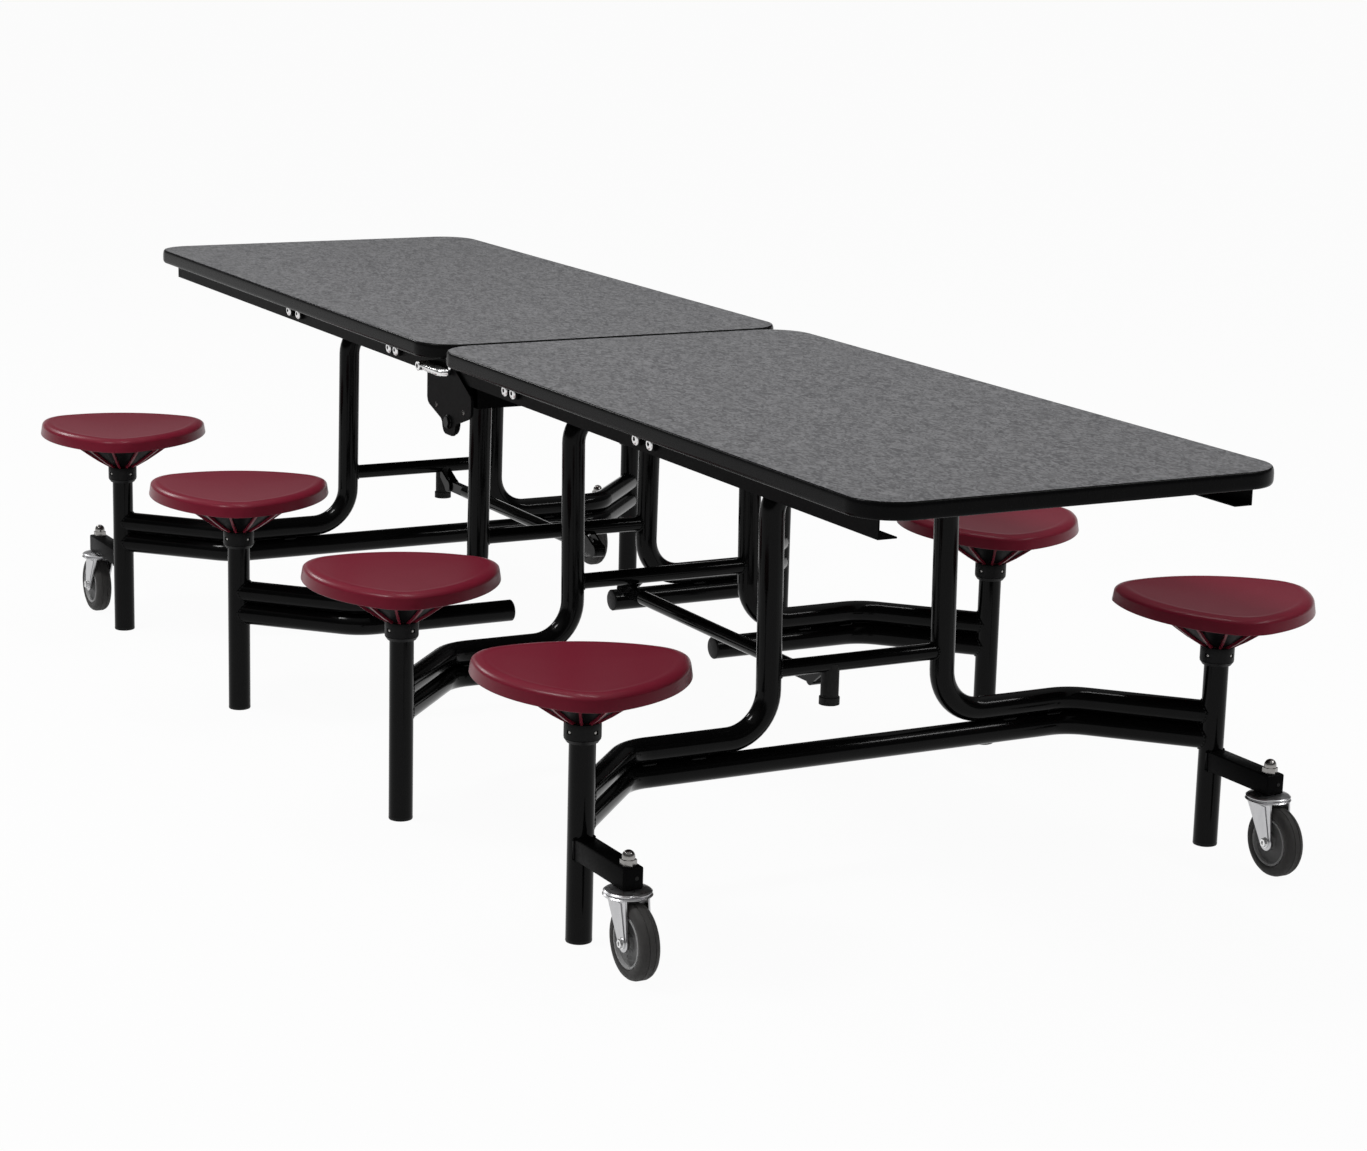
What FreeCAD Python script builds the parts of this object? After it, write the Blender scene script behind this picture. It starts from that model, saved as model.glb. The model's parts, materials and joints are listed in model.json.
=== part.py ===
"""Folding mobile table with eight attached swivel stools.

Two table-top halves meet over a centre hinge. Each half hangs on two tube frames, an end frame
on casters and an inner frame, and each frame carries a stool on both sides. The halves fold
upright on the frames' pivot bars while the frames stay level.

Millimetres, +Z up, origin on the floor under the middle of the table. +X runs along the table to
the near end and +Y across it, from left to right. The far half is the near half turned half a
turn about Z, apart from the hinge plates, the hinge beam and the release lever.
"""
import FreeCAD, Part
import math
import os

Vector = FreeCAD.Vector
UP = Vector(0, 0, 1)
ACROSS = Vector(0, 1, 0)

# Table top
TOP_HEIGHT = 737.0
TOP_WIDTH = 737.0
HALF_LENGTH = 1481.0
CENTRE_GAP = 10.0
CORNER_RADIUS = 75.0
LAMINATE_THICKNESS = 1.2
BOARD_THICKNESS = 22.0
BAND_WIDTH = 4.0
BAND_HEIGHT = 27.0
BAND_ROUND = 3.5

# Rails and cross beams under the top
RAIL_HEIGHT = 38.0
RAIL_FLANGE = 32.0
RAIL_WALL = 2.5
RAIL_SETBACK = 40.0
RAIL_START = 20.0
RAIL_END_SETBACK = 46.0
BEAM_WIDTH = 60.0
BEAM_WALL = 2.0
SEAT_GAP = 0.1

# Fold
HINGE_DROP = 40.0
END_PIVOT_X = 866.0
INNER_PIVOT_X = 193.0
RUNNING_CLEARANCE = 0.05
CUT_MARGIN = 1.0

# Leg frames
TUBE_DIAMETER = 41.0
TUBE_WALL = 2.0
WELD_GAP = 0.05
END_LEG_Y = 165.0
INNER_LEG_Y = 180.0
LEG_SPLAY = 10.0
RUN_HEIGHT = 228.0
RUN_GAP = 0.4
RUN_BEND_Y = 420.0
TOP_BEND_RADIUS = 55.0
FOOT_BEND_RADIUS = 75.0
ARM_BEND_RADIUS = 80.0
CROSS_TUBE_DIAMETER = 28.0
CROSS_TUBE_WALL = 2.0
CROSS_TUBE_HEIGHT = 335.0
INNER_RUN_END_Y = 110.0

# Pivot clamps on the cross beams
CLAMP_Y = 75.0
CLAMP_WIDTH = 24.0
CLAMP_DIAMETER = 53.0
CLAMP_NECK = 36.0
CLAMP_STANDOFF = 11.9

# Stools
STOOL_REACH = 190.0
STOOL_Y = 589.0
POST_TOP = 339.0
GLIDE_THICKNESS = 6.0
GLIDE_ROUND = 2.0
GLIDE_PLUG_LENGTH = 20.0
COLLAR_DIAMETER = 57.0
COLLAR_HEIGHT = 32.0
COLLAR_LID = 6.0
SEAT_HEIGHT = 432.0
SEAT_CORNER_RADIUS = 74.0
SEAT_SIDE_RADIUS = 261.0
SEAT_TURN = 8.0
SEAT_SKIRT = 26.0
SEAT_WALL = 5.0
SEAT_PLATE = 10.0
SEAT_ROUND = 8.0
SEAT_DISH_DEPTH = 5.0
SEAT_DISH_RADIUS = 135.0
HUB_LIFT = 0.3
HUB_DIAMETER = 46.0
HUB_RIBS = 12
RIB_THICKNESS = 4.0
RIB_TOP_REACH = 138.0
RIB_FOOT_REACH = 30.0
RIB_ROOT = 1.0
STEM_DIAMETER = 24.0
STEM_DEPTH = 50.0

# Casters
CASTER_REACH = 155.0
CASTER_TRAIL = 25.0
WHEEL_DIAMETER = 116.0
WHEEL_WIDTH = 32.0
WHEEL_ROUND = 6.0
WHEEL_HUB_DIAMETER = 76.0
AXLE_DIAMETER = 10.0
FORK_PLATE = 3.0
FORK_SIDE_GAP = 1.5
FORK_CROWN_GAP = 4.0
FORK_CROWN_WIDTH = 76.0
FORK_CHEEK_WIDTH = 64.0
FORK_EYE_DIAMETER = 28.0
RACE_DIAMETER = 72.0
RACE_HEIGHT = 10.0
ARM_HEIGHT = 34.0
ARM_WIDTH = 34.0
ARM_WALL = 3.0
KINGPIN_DIAMETER = 12.0
ACORN_WIDTH = 22.0
ACORN_HEX_HEIGHT = 9.0
ACORN_DOME_DIAMETER = 20.0
ACORN_HEIGHT = 23.0

# Braces between each end frame and its inner frame
BRACE_Y = -50.0
BRACE_SETBACK = 38.0
BRACE_HEIGHT = 300.0
BRACE_DIAMETER = 25.0
BRACE_WALL = 2.0
BRACE_EYE_DIAMETER = 24.0
BRACE_EYE_WIDTH = 14.0
BRACE_NECK = 70.0
BRACE_NECK_HEIGHT = 20.0
BRACE_PIN_DIAMETER = 10.0
BRACE_PIN_CLEARANCE = 0.5
LUG_PLATE = 4.0
LUG_DIAMETER = 24.0
LUG_GAP = 0.6
STOP_DIAMETER = 30.0
STOP_LENGTH = 42.0
STOP_TIP = 12.0
STOP_TIP_DIAMETER = 34.0

# Centre hinge and release lever
HINGE_PLATE = 5.0
HINGE_BOSS_DIAMETER = 48.0
HINGE_PIN_DIAMETER = 16.0
HINGE_HEAD_DIAMETER = 26.0
HINGE_HEAD_HEIGHT = 6.0
INNER_PLATE_START = 6.0
INNER_PLATE_END = 76.0
INNER_PLATE_DROP = 45.0
INNER_PLATE_SETDOWN = 2.0
OUTER_PLATE_REACH = 95.0
OUTER_PLATE_LAP = 4.0
OUTER_PLATE_PEAK_X = 14.0
OUTER_PLATE_PEAK_RISE = 28.0
OUTER_PLATE_SIDE = 58.0
OUTER_PLATE_WAIST = 22.0
HINGE_BEAM_X = 70.0
HINGE_BEAM_WIDTH = 50.0
HINGE_BEAM_HEIGHT = 36.0
HINGE_BEAM_DROP = 1.8
LEVER_PIVOT_X = 84.0
LEVER_DROP = 4.8
LEVER_LENGTH = 98.0
LEVER_THICKNESS = 13.0
LEVER_DEPTH = 25.0
LEVER_TIP_ROUND = 10.0
LEVER_BOSS_DIAMETER = 18.0
LEVER_PIN_DIAMETER = 8.0
LEVER_GAP = 0.4

# Bolts through the rails
BOLT_DIAMETER = 8.0
BOLT_CLEARANCE = 0.1
BOLT_HEAD_DIAMETER = 16.0
BOLT_HEAD_HEIGHT = 5.0
BOLT_NUT_HEIGHT = 6.0
RAIL_BOLT_X = (236.0, 268.0, 722.0, 770.0)

# Heights and places worked out from the driving sizes
HALF_WIDTH = TOP_WIDTH / 2
TOP_START = CENTRE_GAP / 2
TOP_END = TOP_START + HALF_LENGTH
BOARD_TOP = TOP_HEIGHT - LAMINATE_THICKNESS
BOARD_BOTTOM = BOARD_TOP - BOARD_THICKNESS
RAIL_BOTTOM = BOARD_BOTTOM - RAIL_HEIGHT
RAIL_MIDDLE = BOARD_BOTTOM - RAIL_HEIGHT / 2
RAIL_FACE = HALF_WIDTH - RAIL_SETBACK
RAIL_END = TOP_END - RAIL_END_SETBACK
BEAM_BOTTOM = RAIL_BOTTOM + RAIL_WALL + SEAT_GAP
BEAM_TOP = BOARD_BOTTOM - RAIL_WALL - SEAT_GAP
PIVOT_HEIGHT = BEAM_BOTTOM - CLAMP_STANDOFF - CLAMP_DIAMETER / 2
HINGE_HEIGHT = PIVOT_HEIGHT - HINGE_DROP
LEVER_HEIGHT = RAIL_MIDDLE - LEVER_DROP
LOWER_RUN_HEIGHT = RUN_HEIGHT - TUBE_DIAMETER - RUN_GAP
COLLAR_TOP = POST_TOP + SEAT_GAP + COLLAR_LID
COLLAR_BOTTOM = COLLAR_TOP - COLLAR_HEIGHT
SEAT_RIM_BOTTOM = SEAT_HEIGHT - SEAT_SKIRT
HUB_BOTTOM = COLLAR_TOP + HUB_LIFT
WHEEL_RADIUS = WHEEL_DIAMETER / 2
FORK_CROWN_BOTTOM = WHEEL_DIAMETER + FORK_CROWN_GAP
FORK_CROWN_TOP = FORK_CROWN_BOTTOM + FORK_PLATE
ARM_BOTTOM = FORK_CROWN_TOP + RACE_HEIGHT + HUB_LIFT
ARM_TOP = ARM_BOTTOM + ARM_HEIGHT
FORK_INNER = WHEEL_WIDTH / 2 + FORK_SIDE_GAP
FORK_OUTER = FORK_INNER + FORK_PLATE
SIDES = {"left": -1, "right": 1}


def box(x0, x1, y0, y1, z0, z1):
    """Box between two corners, given in any order."""
    corner = Vector(min(x0, x1), min(y0, y1), min(z0, z1))
    return Part.makeBox(abs(x1 - x0), abs(y1 - y0), abs(z1 - z0), corner)


def rod(diameter, start, end):
    """Round bar between two points."""
    run = end - start
    return Part.makeCylinder(diameter / 2, run.Length, start, run)


def fuse(shapes):
    """One solid out of shapes that touch or overlap."""
    whole = shapes[0].multiFuse(shapes[1:]).removeSplitter()
    return whole.Solids[0]


def bent_path(points, radii):
    """Wire of straight runs with a tangent arc at each inner point."""
    edges = []
    start = points[0]
    for before, corner, after, radius in zip(points, points[1:], points[2:], radii):
        into = (before - corner).normalize()
        out = (after - corner).normalize()
        half_angle = into.getAngle(out) / 2
        trim = radius / math.tan(half_angle)
        middle_line = (into + out).normalize()
        arc_start = corner + into * trim
        arc_end = corner + out * trim
        arc_middle = corner + middle_line * (radius / math.sin(half_angle) - radius)
        edges.append(Part.LineSegment(start, arc_start).toShape())
        edges.append(Part.Arc(arc_start, arc_middle, arc_end).toShape())
        start = arc_end
    edges.append(Part.LineSegment(start, points[-1]).toShape())
    return Part.Wire(edges)


def swept(path, diameter):
    """Round bar that follows a path."""
    first = path.Edges[0]
    start = first.valueAt(first.FirstParameter)
    heading = first.tangentAt(first.FirstParameter)
    ring = Part.Wire(Part.makeCircle(diameter / 2, start, heading))
    return path.makePipeShell([ring], True, False)


def bent_tube(points, radii, diameter, wall):
    """Hollow tube that follows straight runs and bends."""
    path = bent_path(points, radii)
    return swept(path, diameter).cut(swept(path, diameter - 2 * wall))


def turned(shape):
    """Copy of a near-half shape in its place on the far half."""
    copy = shape.copy()
    copy.rotate(Vector(0, 0, 0), UP, 180)
    return copy


def rounded_slab(inset, bottom, top):
    """Plan of one table-top half, set in from its edge, between two heights."""
    slab = box(TOP_START + inset, TOP_END - inset, -HALF_WIDTH + inset, HALF_WIDTH - inset,
               bottom, top)
    uprights = [e for e in slab.Edges if abs(e.tangentAt(e.FirstParameter).z) > 0.5]
    return slab.makeFillet(CORNER_RADIUS - inset, uprights)


def edge_band():
    """Moulded band round the edge of a top half."""
    outer = rounded_slab(0, TOP_HEIGHT - BAND_HEIGHT, TOP_HEIGHT)
    rims = [e for e in outer.Edges if abs(e.tangentAt(e.FirstParameter).z) < 0.5]
    outer = outer.makeFillet(BAND_ROUND, rims)
    return outer.cut(rounded_slab(BAND_WIDTH, TOP_HEIGHT - 2 * BAND_HEIGHT, TOP_HEIGHT * 2))


def rail(side):
    """C-channel under one side of a top half, open towards the middle."""
    face = side * RAIL_FACE
    channel = box(RAIL_START, RAIL_END, face, face - side * RAIL_FLANGE, RAIL_BOTTOM, BOARD_BOTTOM)
    hollow = box(RAIL_START, RAIL_END, face - side * RAIL_WALL, face - side * RAIL_FLANGE * 2,
                 RAIL_BOTTOM + RAIL_WALL, BOARD_BOTTOM - RAIL_WALL)
    channel = channel.cut(hollow)
    for x in RAIL_BOLT_X:
        hole = rod(BOLT_DIAMETER + 2 * BOLT_CLEARANCE,
                   Vector(x, face + side * CUT_MARGIN, RAIL_MIDDLE),
                   Vector(x, face - side * RAIL_FLANGE, RAIL_MIDDLE))
        channel = channel.cut(hole)
    return channel


def inner_plate_notch(side):
    """Slot in a rail's lower flange for a hinge plate on the inside of its web."""
    face = side * (RAIL_FACE - RAIL_WALL)
    return box(0, INNER_PLATE_END + CUT_MARGIN, face, face - side * (HINGE_PLATE + CUT_MARGIN),
               RAIL_BOTTOM - CUT_MARGIN, RAIL_BOTTOM + RAIL_WALL + CUT_MARGIN)


def square_beam(x, width, bottom, top, wall, half_span):
    """Rectangular tube across the table."""
    outer = box(x - width / 2, x + width / 2, -half_span, half_span, bottom, top)
    inner = box(x - width / 2 + wall, x + width / 2 - wall, -half_span, half_span,
                bottom + wall, top - wall)
    return outer.cut(inner)


def underframe():
    """Rails and cross beams of one half."""
    half_span = RAIL_FACE - RAIL_WALL - SEAT_GAP
    beams = [square_beam(x, BEAM_WIDTH, BEAM_BOTTOM, BEAM_TOP, BEAM_WALL, half_span)
             for x in (END_PIVOT_X, INNER_PIVOT_X)]
    return [rail(side) for side in SIDES.values()] + beams


def near_underframe():
    """Underframe with slots for the inner hinge plates and the beam between them."""
    slots = [inner_plate_notch(side) for side in SIDES.values()]
    pieces = [solid.cut(slots) for solid in underframe()]
    top = RAIL_BOTTOM - HINGE_BEAM_DROP
    half_span = RAIL_FACE - RAIL_WALL - HINGE_PLATE - 2 * SEAT_GAP
    return pieces + [square_beam(HINGE_BEAM_X, HINGE_BEAM_WIDTH, top - HINGE_BEAM_HEIGHT, top,
                                 BEAM_WALL, half_span)]


def pivot_clamps():
    """Bearing blocks that hold the frames' pivot bars under the cross beams."""
    clamps = []
    for x in (END_PIVOT_X, INNER_PIVOT_X):
        for side in SIDES.values():
            y0 = side * CLAMP_Y - CLAMP_WIDTH / 2
            y1 = y0 + CLAMP_WIDTH
            ring = rod(CLAMP_DIAMETER, Vector(x, y0, PIVOT_HEIGHT), Vector(x, y1, PIVOT_HEIGHT))
            neck = box(x - CLAMP_NECK / 2, x + CLAMP_NECK / 2, y0, y1, PIVOT_HEIGHT, BEAM_BOTTOM)
            bore = rod(TUBE_DIAMETER + 2 * RUNNING_CLEARANCE, Vector(x, y0, PIVOT_HEIGHT),
                       Vector(x, y1, PIVOT_HEIGHT))
            clamps.append(fuse([ring, neck]).cut(bore).Solids[0])
    return clamps


def hinge_plate(outline, first_face, second_face, pin_clearance):
    """Plate between two Y faces, with a round foot at the centre hinge."""
    points = [Vector(x, first_face, z) for x, z in outline]
    face = Part.Face(Part.makePolygon(points + points[:1]))
    ends = [Vector(0, first_face, HINGE_HEIGHT), Vector(0, second_face, HINGE_HEIGHT)]
    foot = rod(HINGE_BOSS_DIAMETER, *ends)
    hole = rod(HINGE_PIN_DIAMETER + 2 * pin_clearance, *ends)
    plate = fuse([face.extrude(Vector(0, second_face - first_face, 0)), foot])
    return plate.cut(hole).Solids[0]


def inner_hinge_plates():
    """Near half's hinge plates, on the inside of its rails' webs."""
    top = BOARD_BOTTOM - RAIL_WALL - INNER_PLATE_SETDOWN
    foot = HINGE_BOSS_DIAMETER / 2
    outline = [(INNER_PLATE_START, top), (INNER_PLATE_END, top),
               (INNER_PLATE_END, top - INNER_PLATE_DROP), (foot, HINGE_HEIGHT), (-foot, HINGE_HEIGHT)]
    outer = RAIL_FACE - RAIL_WALL - SEAT_GAP
    return [hinge_plate(outline, s * outer, s * (outer - HINGE_PLATE), WELD_GAP)
            for s in SIDES.values()]


def outer_hinge_plates():
    """Far half's hinge plates, on the outside of its rails, drawn on the near half."""
    reach = OUTER_PLATE_REACH
    foot = HINGE_BOSS_DIAMETER / 2
    outline = [(reach, RAIL_BOTTOM + OUTER_PLATE_LAP), (OUTER_PLATE_PEAK_X, RAIL_BOTTOM + OUTER_PLATE_LAP),
               (-OUTER_PLATE_PEAK_X, RAIL_BOTTOM + OUTER_PLATE_PEAK_RISE),
               (-reach, HINGE_HEIGHT + OUTER_PLATE_SIDE), (-reach, HINGE_HEIGHT + OUTER_PLATE_WAIST),
               (-foot, HINGE_HEIGHT), (foot, HINGE_HEIGHT), (reach, HINGE_HEIGHT + OUTER_PLATE_WAIST)]
    inner = RAIL_FACE + SEAT_GAP
    return [hinge_plate(outline, s * inner, s * (inner + HINGE_PLATE), RUNNING_CLEARANCE)
            for s in SIDES.values()]


def hinge_pins():
    """Headed pin through the two plates on each side."""
    pins = []
    inner = RAIL_FACE - RAIL_WALL - SEAT_GAP - HINGE_PLATE
    outer = RAIL_FACE + SEAT_GAP + HINGE_PLATE + HUB_LIFT
    for side in SIDES.values():
        reaches = [inner - HINGE_HEAD_HEIGHT, inner, outer, outer + HINGE_HEAD_HEIGHT]
        stations = [Vector(0, side * y, HINGE_HEIGHT) for y in reaches]
        pins.append(fuse([rod(HINGE_PIN_DIAMETER, stations[1], stations[2]),
                          rod(HINGE_HEAD_DIAMETER, stations[0], stations[1]),
                          rod(HINGE_HEAD_DIAMETER, stations[2], stations[3])]))
    return pins


def through_bolt(x, side, outer_face, inner_face):
    """Bolt with its nut through a rail's web and what lies on it."""
    z = RAIL_MIDDLE
    head = rod(BOLT_HEAD_DIAMETER, Vector(x, side * outer_face, z),
               Vector(x, side * (outer_face + BOLT_HEAD_HEIGHT), z))
    shank = rod(BOLT_DIAMETER, Vector(x, side * outer_face, z), Vector(x, side * inner_face, z))
    nut = rod(BOLT_HEAD_DIAMETER, Vector(x, side * inner_face, z),
              Vector(x, side * (inner_face - BOLT_NUT_HEIGHT), z))
    return fuse([head, shank, nut])


def rail_bolts():
    """Bolts along the rails of one half."""
    return [through_bolt(x, side, RAIL_FACE, RAIL_FACE - RAIL_WALL)
            for side in SIDES.values() for x in RAIL_BOLT_X]


def release_lever():
    """Lock release lever on the outside of the far half's left rail, with its boss."""
    face = -(RAIL_FACE + HINGE_PLATE + SEAT_GAP + LEVER_GAP)
    outer = face - LEVER_DEPTH
    pivot = Vector(-LEVER_PIVOT_X, 0, LEVER_HEIGHT)
    boss = rod(LEVER_BOSS_DIAMETER, pivot + ACROSS * (-RAIL_FACE - LEVER_GAP), pivot + ACROSS * outer)
    blade = box(-LEVER_PIVOT_X, LEVER_LENGTH - LEVER_PIVOT_X, face, outer,
                LEVER_HEIGHT - LEVER_THICKNESS / 2, LEVER_HEIGHT + LEVER_THICKNESS / 2)
    tip_edges = [e for e in blade.Edges if abs(e.tangentAt(e.FirstParameter).z) > 0.5
                 and e.CenterOfMass.x > 0]
    blade = blade.makeFillet(LEVER_TIP_ROUND, tip_edges)
    bore = rod(LEVER_PIN_DIAMETER + 2 * RUNNING_CLEARANCE, pivot + ACROSS * -RAIL_FACE,
               pivot + ACROSS * (outer - CUT_MARGIN))
    return fuse([boss, blade]).cut(bore).Solids[0]


def lever_pin():
    """Pin welded to the rail that carries the release lever."""
    outer = RAIL_FACE + HINGE_PLATE + SEAT_GAP + LEVER_GAP + LEVER_DEPTH
    pivot = Vector(-LEVER_PIVOT_X, 0, LEVER_HEIGHT)
    return rod(LEVER_PIN_DIAMETER, pivot + ACROSS * -RAIL_FACE, pivot + ACROSS * -outer)


def leg_foot_x(pivot_x):
    """X of a frame's lower runs."""
    return pivot_x + LEG_SPLAY


def post_cutter(pivot_x, side):
    """Space that a post takes out of the tubes welded to it."""
    x = pivot_x + STOOL_REACH
    return rod(TUBE_DIAMETER + 2 * WELD_GAP, Vector(x, side * STOOL_Y, 0),
               Vector(x, side * STOOL_Y, POST_TOP))


def leg_frame(pivot_x, leg_y):
    """Tube from post to post, up one leg, along the pivot bar and down the other leg."""
    foot_x = leg_foot_x(pivot_x)
    right_half = [Vector(pivot_x, leg_y, PIVOT_HEIGHT), Vector(foot_x, leg_y, RUN_HEIGHT),
                  Vector(foot_x, RUN_BEND_Y, RUN_HEIGHT),
                  Vector(pivot_x + STOOL_REACH, STOOL_Y, RUN_HEIGHT)]
    left_half = [Vector(p.x, -p.y, p.z) for p in reversed(right_half)]
    bends = [TOP_BEND_RADIUS, FOOT_BEND_RADIUS, ARM_BEND_RADIUS]
    tube = bent_tube(left_half + right_half, bends[::-1] + bends, TUBE_DIAMETER, TUBE_WALL)
    for side in SIDES.values():
        tube = tube.cut(post_cutter(pivot_x, side))
    return max(tube.Solids, key=lambda s: s.Volume)


def lower_run(pivot_x):
    """Tube from post to post under an end frame's legs."""
    foot_x = leg_foot_x(pivot_x)
    post_x = pivot_x + STOOL_REACH
    z = LOWER_RUN_HEIGHT
    points = [Vector(post_x, -STOOL_Y, z), Vector(foot_x, -RUN_BEND_Y, z),
              Vector(foot_x, RUN_BEND_Y, z), Vector(post_x, STOOL_Y, z)]
    tube = bent_tube(points, [ARM_BEND_RADIUS] * 2, TUBE_DIAMETER, TUBE_WALL)
    for side in SIDES.values():
        tube = tube.cut(post_cutter(pivot_x, side))
    return max(tube.Solids, key=lambda s: s.Volume)


def half_lower_run(pivot_x, side):
    """Tube from a post to under the leg of an inner frame, clear of the brace."""
    foot_x = leg_foot_x(pivot_x)
    z = LOWER_RUN_HEIGHT
    points = [Vector(pivot_x + STOOL_REACH, side * STOOL_Y, z), Vector(foot_x, side * RUN_BEND_Y, z),
              Vector(foot_x, side * INNER_RUN_END_Y, z)]
    tube = bent_tube(points, [ARM_BEND_RADIUS], TUBE_DIAMETER, TUBE_WALL)
    tube = tube.cut(post_cutter(pivot_x, side))
    return max(tube.Solids, key=lambda s: s.Volume)


def cross_tube_x(pivot_x):
    """X of the cross tube, on the line of the splayed legs."""
    share = (PIVOT_HEIGHT - CROSS_TUBE_HEIGHT) / (PIVOT_HEIGHT - RUN_HEIGHT)
    return pivot_x + LEG_SPLAY * share


def brace_pin_point(pivot_x):
    """Middle of the brace pin of a frame."""
    return Vector(pivot_x - BRACE_SETBACK, BRACE_Y, BRACE_HEIGHT)


def brace_lug(pivot_x, side, room):
    """Lug from the cross tube to one side of the brace pin, grown by some room all round."""
    x = cross_tube_x(pivot_x)
    pin = brace_pin_point(pivot_x)
    first_face = pin.y + side * (BRACE_EYE_WIDTH / 2 + LUG_GAP - room)
    second_face = first_face + side * (LUG_PLATE + 2 * room)
    half_eye = LUG_DIAMETER / 2 + room
    eye = rod(2 * half_eye, Vector(pin.x, first_face, pin.z), Vector(pin.x, second_face, pin.z))
    outline = [(pin.x, pin.z - half_eye), (x, CROSS_TUBE_HEIGHT - CROSS_TUBE_DIAMETER / 2 - room),
               (x, CROSS_TUBE_HEIGHT), (pin.x, pin.z + half_eye)]
    points = [Vector(px, first_face, pz) for px, pz in outline]
    web = Part.Face(Part.makePolygon(points + points[:1]))
    return fuse([eye, web.extrude(Vector(0, second_face - first_face, 0))])


def cross_tube(pivot_x, leg_y):
    """Cross tube between the legs, the two lugs welded to it for the brace, and the brace pin."""
    x = cross_tube_x(pivot_x)
    ends = [Vector(x, -leg_y, CROSS_TUBE_HEIGHT), Vector(x, leg_y, CROSS_TUBE_HEIGHT)]
    tube = rod(CROSS_TUBE_DIAMETER, *ends).cut(rod(CROSS_TUBE_DIAMETER - 2 * CROSS_TUBE_WALL, *ends))
    for side in SIDES.values():
        tube = tube.cut(rod(TUBE_DIAMETER + 2 * WELD_GAP,
                            Vector(leg_foot_x(pivot_x), side * leg_y, RUN_HEIGHT),
                            Vector(pivot_x, side * leg_y, PIVOT_HEIGHT)))
    reach = ACROSS * (BRACE_EYE_WIDTH / 2 + LUG_GAP + LUG_PLATE)
    pin = rod(BRACE_PIN_DIAMETER, brace_pin_point(pivot_x) - reach, brace_pin_point(pivot_x) + reach)
    seat = rod(CROSS_TUBE_DIAMETER + 2 * WELD_GAP, *ends)
    lugs = [brace_lug(pivot_x, side, 0).cut([seat, pin]) for side in SIDES.values()]
    return [max(piece.Solids, key=lambda s: s.Volume) for piece in [tube] + lugs] + [pin]


def stop_stub(pivot_x):
    """Stop under the cross tube with its rubber tip, both on the brace's line."""
    x = cross_tube_x(pivot_x)
    head = Vector(x, BRACE_Y, CROSS_TUBE_HEIGHT)
    foot = head - UP * (CROSS_TUBE_DIAMETER / 2 + STOP_LENGTH)
    half_bar = ACROSS * STOP_DIAMETER
    stub = rod(STOP_DIAMETER, foot, head)
    stub = stub.cut(rod(CROSS_TUBE_DIAMETER + 2 * WELD_GAP, head - half_bar, head + half_bar))
    for side in SIDES.values():
        stub = stub.cut(brace_lug(pivot_x, side, WELD_GAP))
    stub = max(stub.Solids, key=lambda s: s.Volume)
    return [stub, rod(STOP_TIP_DIAMETER, foot - UP * STOP_TIP, foot)]


def posts(pivot_x):
    """Stool posts of a frame."""
    x = pivot_x + STOOL_REACH
    tubes = []
    for side in SIDES.values():
        foot = Vector(x, side * STOOL_Y, GLIDE_THICKNESS)
        head = Vector(x, side * STOOL_Y, POST_TOP)
        tubes.append(rod(TUBE_DIAMETER, foot, head).cut(rod(TUBE_DIAMETER - 2 * TUBE_WALL, foot, head)))
    return tubes


def glide(x, y):
    """Foot plug in the lower end of a post."""
    pad = rod(TUBE_DIAMETER, Vector(x, y, 0), Vector(x, y, GLIDE_THICKNESS))
    rim = [e for e in pad.Edges if e.CenterOfMass.z < GLIDE_ROUND and len(e.Vertexes) == 1]
    pad = pad.makeFillet(GLIDE_ROUND, rim)
    bore = TUBE_DIAMETER - 2 * TUBE_WALL - 2 * SEAT_GAP
    plug = rod(bore, Vector(x, y, GLIDE_THICKNESS), Vector(x, y, GLIDE_THICKNESS + GLIDE_PLUG_LENGTH))
    return fuse([pad, plug])


def collar(x, y):
    """Bearing collar over the upper end of a post."""
    shell = rod(COLLAR_DIAMETER, Vector(x, y, COLLAR_BOTTOM), Vector(x, y, COLLAR_TOP))
    socket = rod(TUBE_DIAMETER + 2 * SEAT_GAP, Vector(x, y, COLLAR_BOTTOM),
                 Vector(x, y, POST_TOP + SEAT_GAP))
    bore = rod(STEM_DIAMETER + 2 * RUNNING_CLEARANCE, Vector(x, y, COLLAR_BOTTOM),
               Vector(x, y, COLLAR_TOP))
    return shell.cut(socket).cut(bore)


def post_fittings(pivot_x):
    """Glides and collars of a frame's two posts."""
    x = pivot_x + STOOL_REACH
    fittings = []
    for side in SIDES.values():
        fittings += [glide(x, side * STOOL_Y), collar(x, side * STOOL_Y)]
    return fittings


def seat_outline(inset, z):
    """Closed outline of a seat: three long arcs and three corner arcs, one corner near +Y."""
    spread = (SEAT_SIDE_RADIUS - SEAT_CORNER_RADIUS) / math.sqrt(3)
    corner_radius = SEAT_CORNER_RADIUS - inset
    side_radius = SEAT_SIDE_RADIUS - inset
    edges = []
    for step in range(3):
        angle = math.radians(90 + SEAT_TURN + 120 * step)
        corner = Vector(spread * math.cos(angle), spread * math.sin(angle), z)
        opposite_turn = angle + math.pi
        ends = [angle - math.pi / 6, angle, angle + math.pi / 6]
        edges.append(Part.Arc(*[corner + Vector(math.cos(a), math.sin(a), 0) * corner_radius
                                for a in ends]).toShape())
        ends = [opposite_turn - math.pi / 6, opposite_turn, opposite_turn + math.pi / 6]
        edges.append(Part.Arc(*[corner + Vector(math.cos(a), math.sin(a), 0) * side_radius
                                for a in ends]).toShape())
    return Part.Wire(Part.__sortEdges__(edges))


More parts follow.
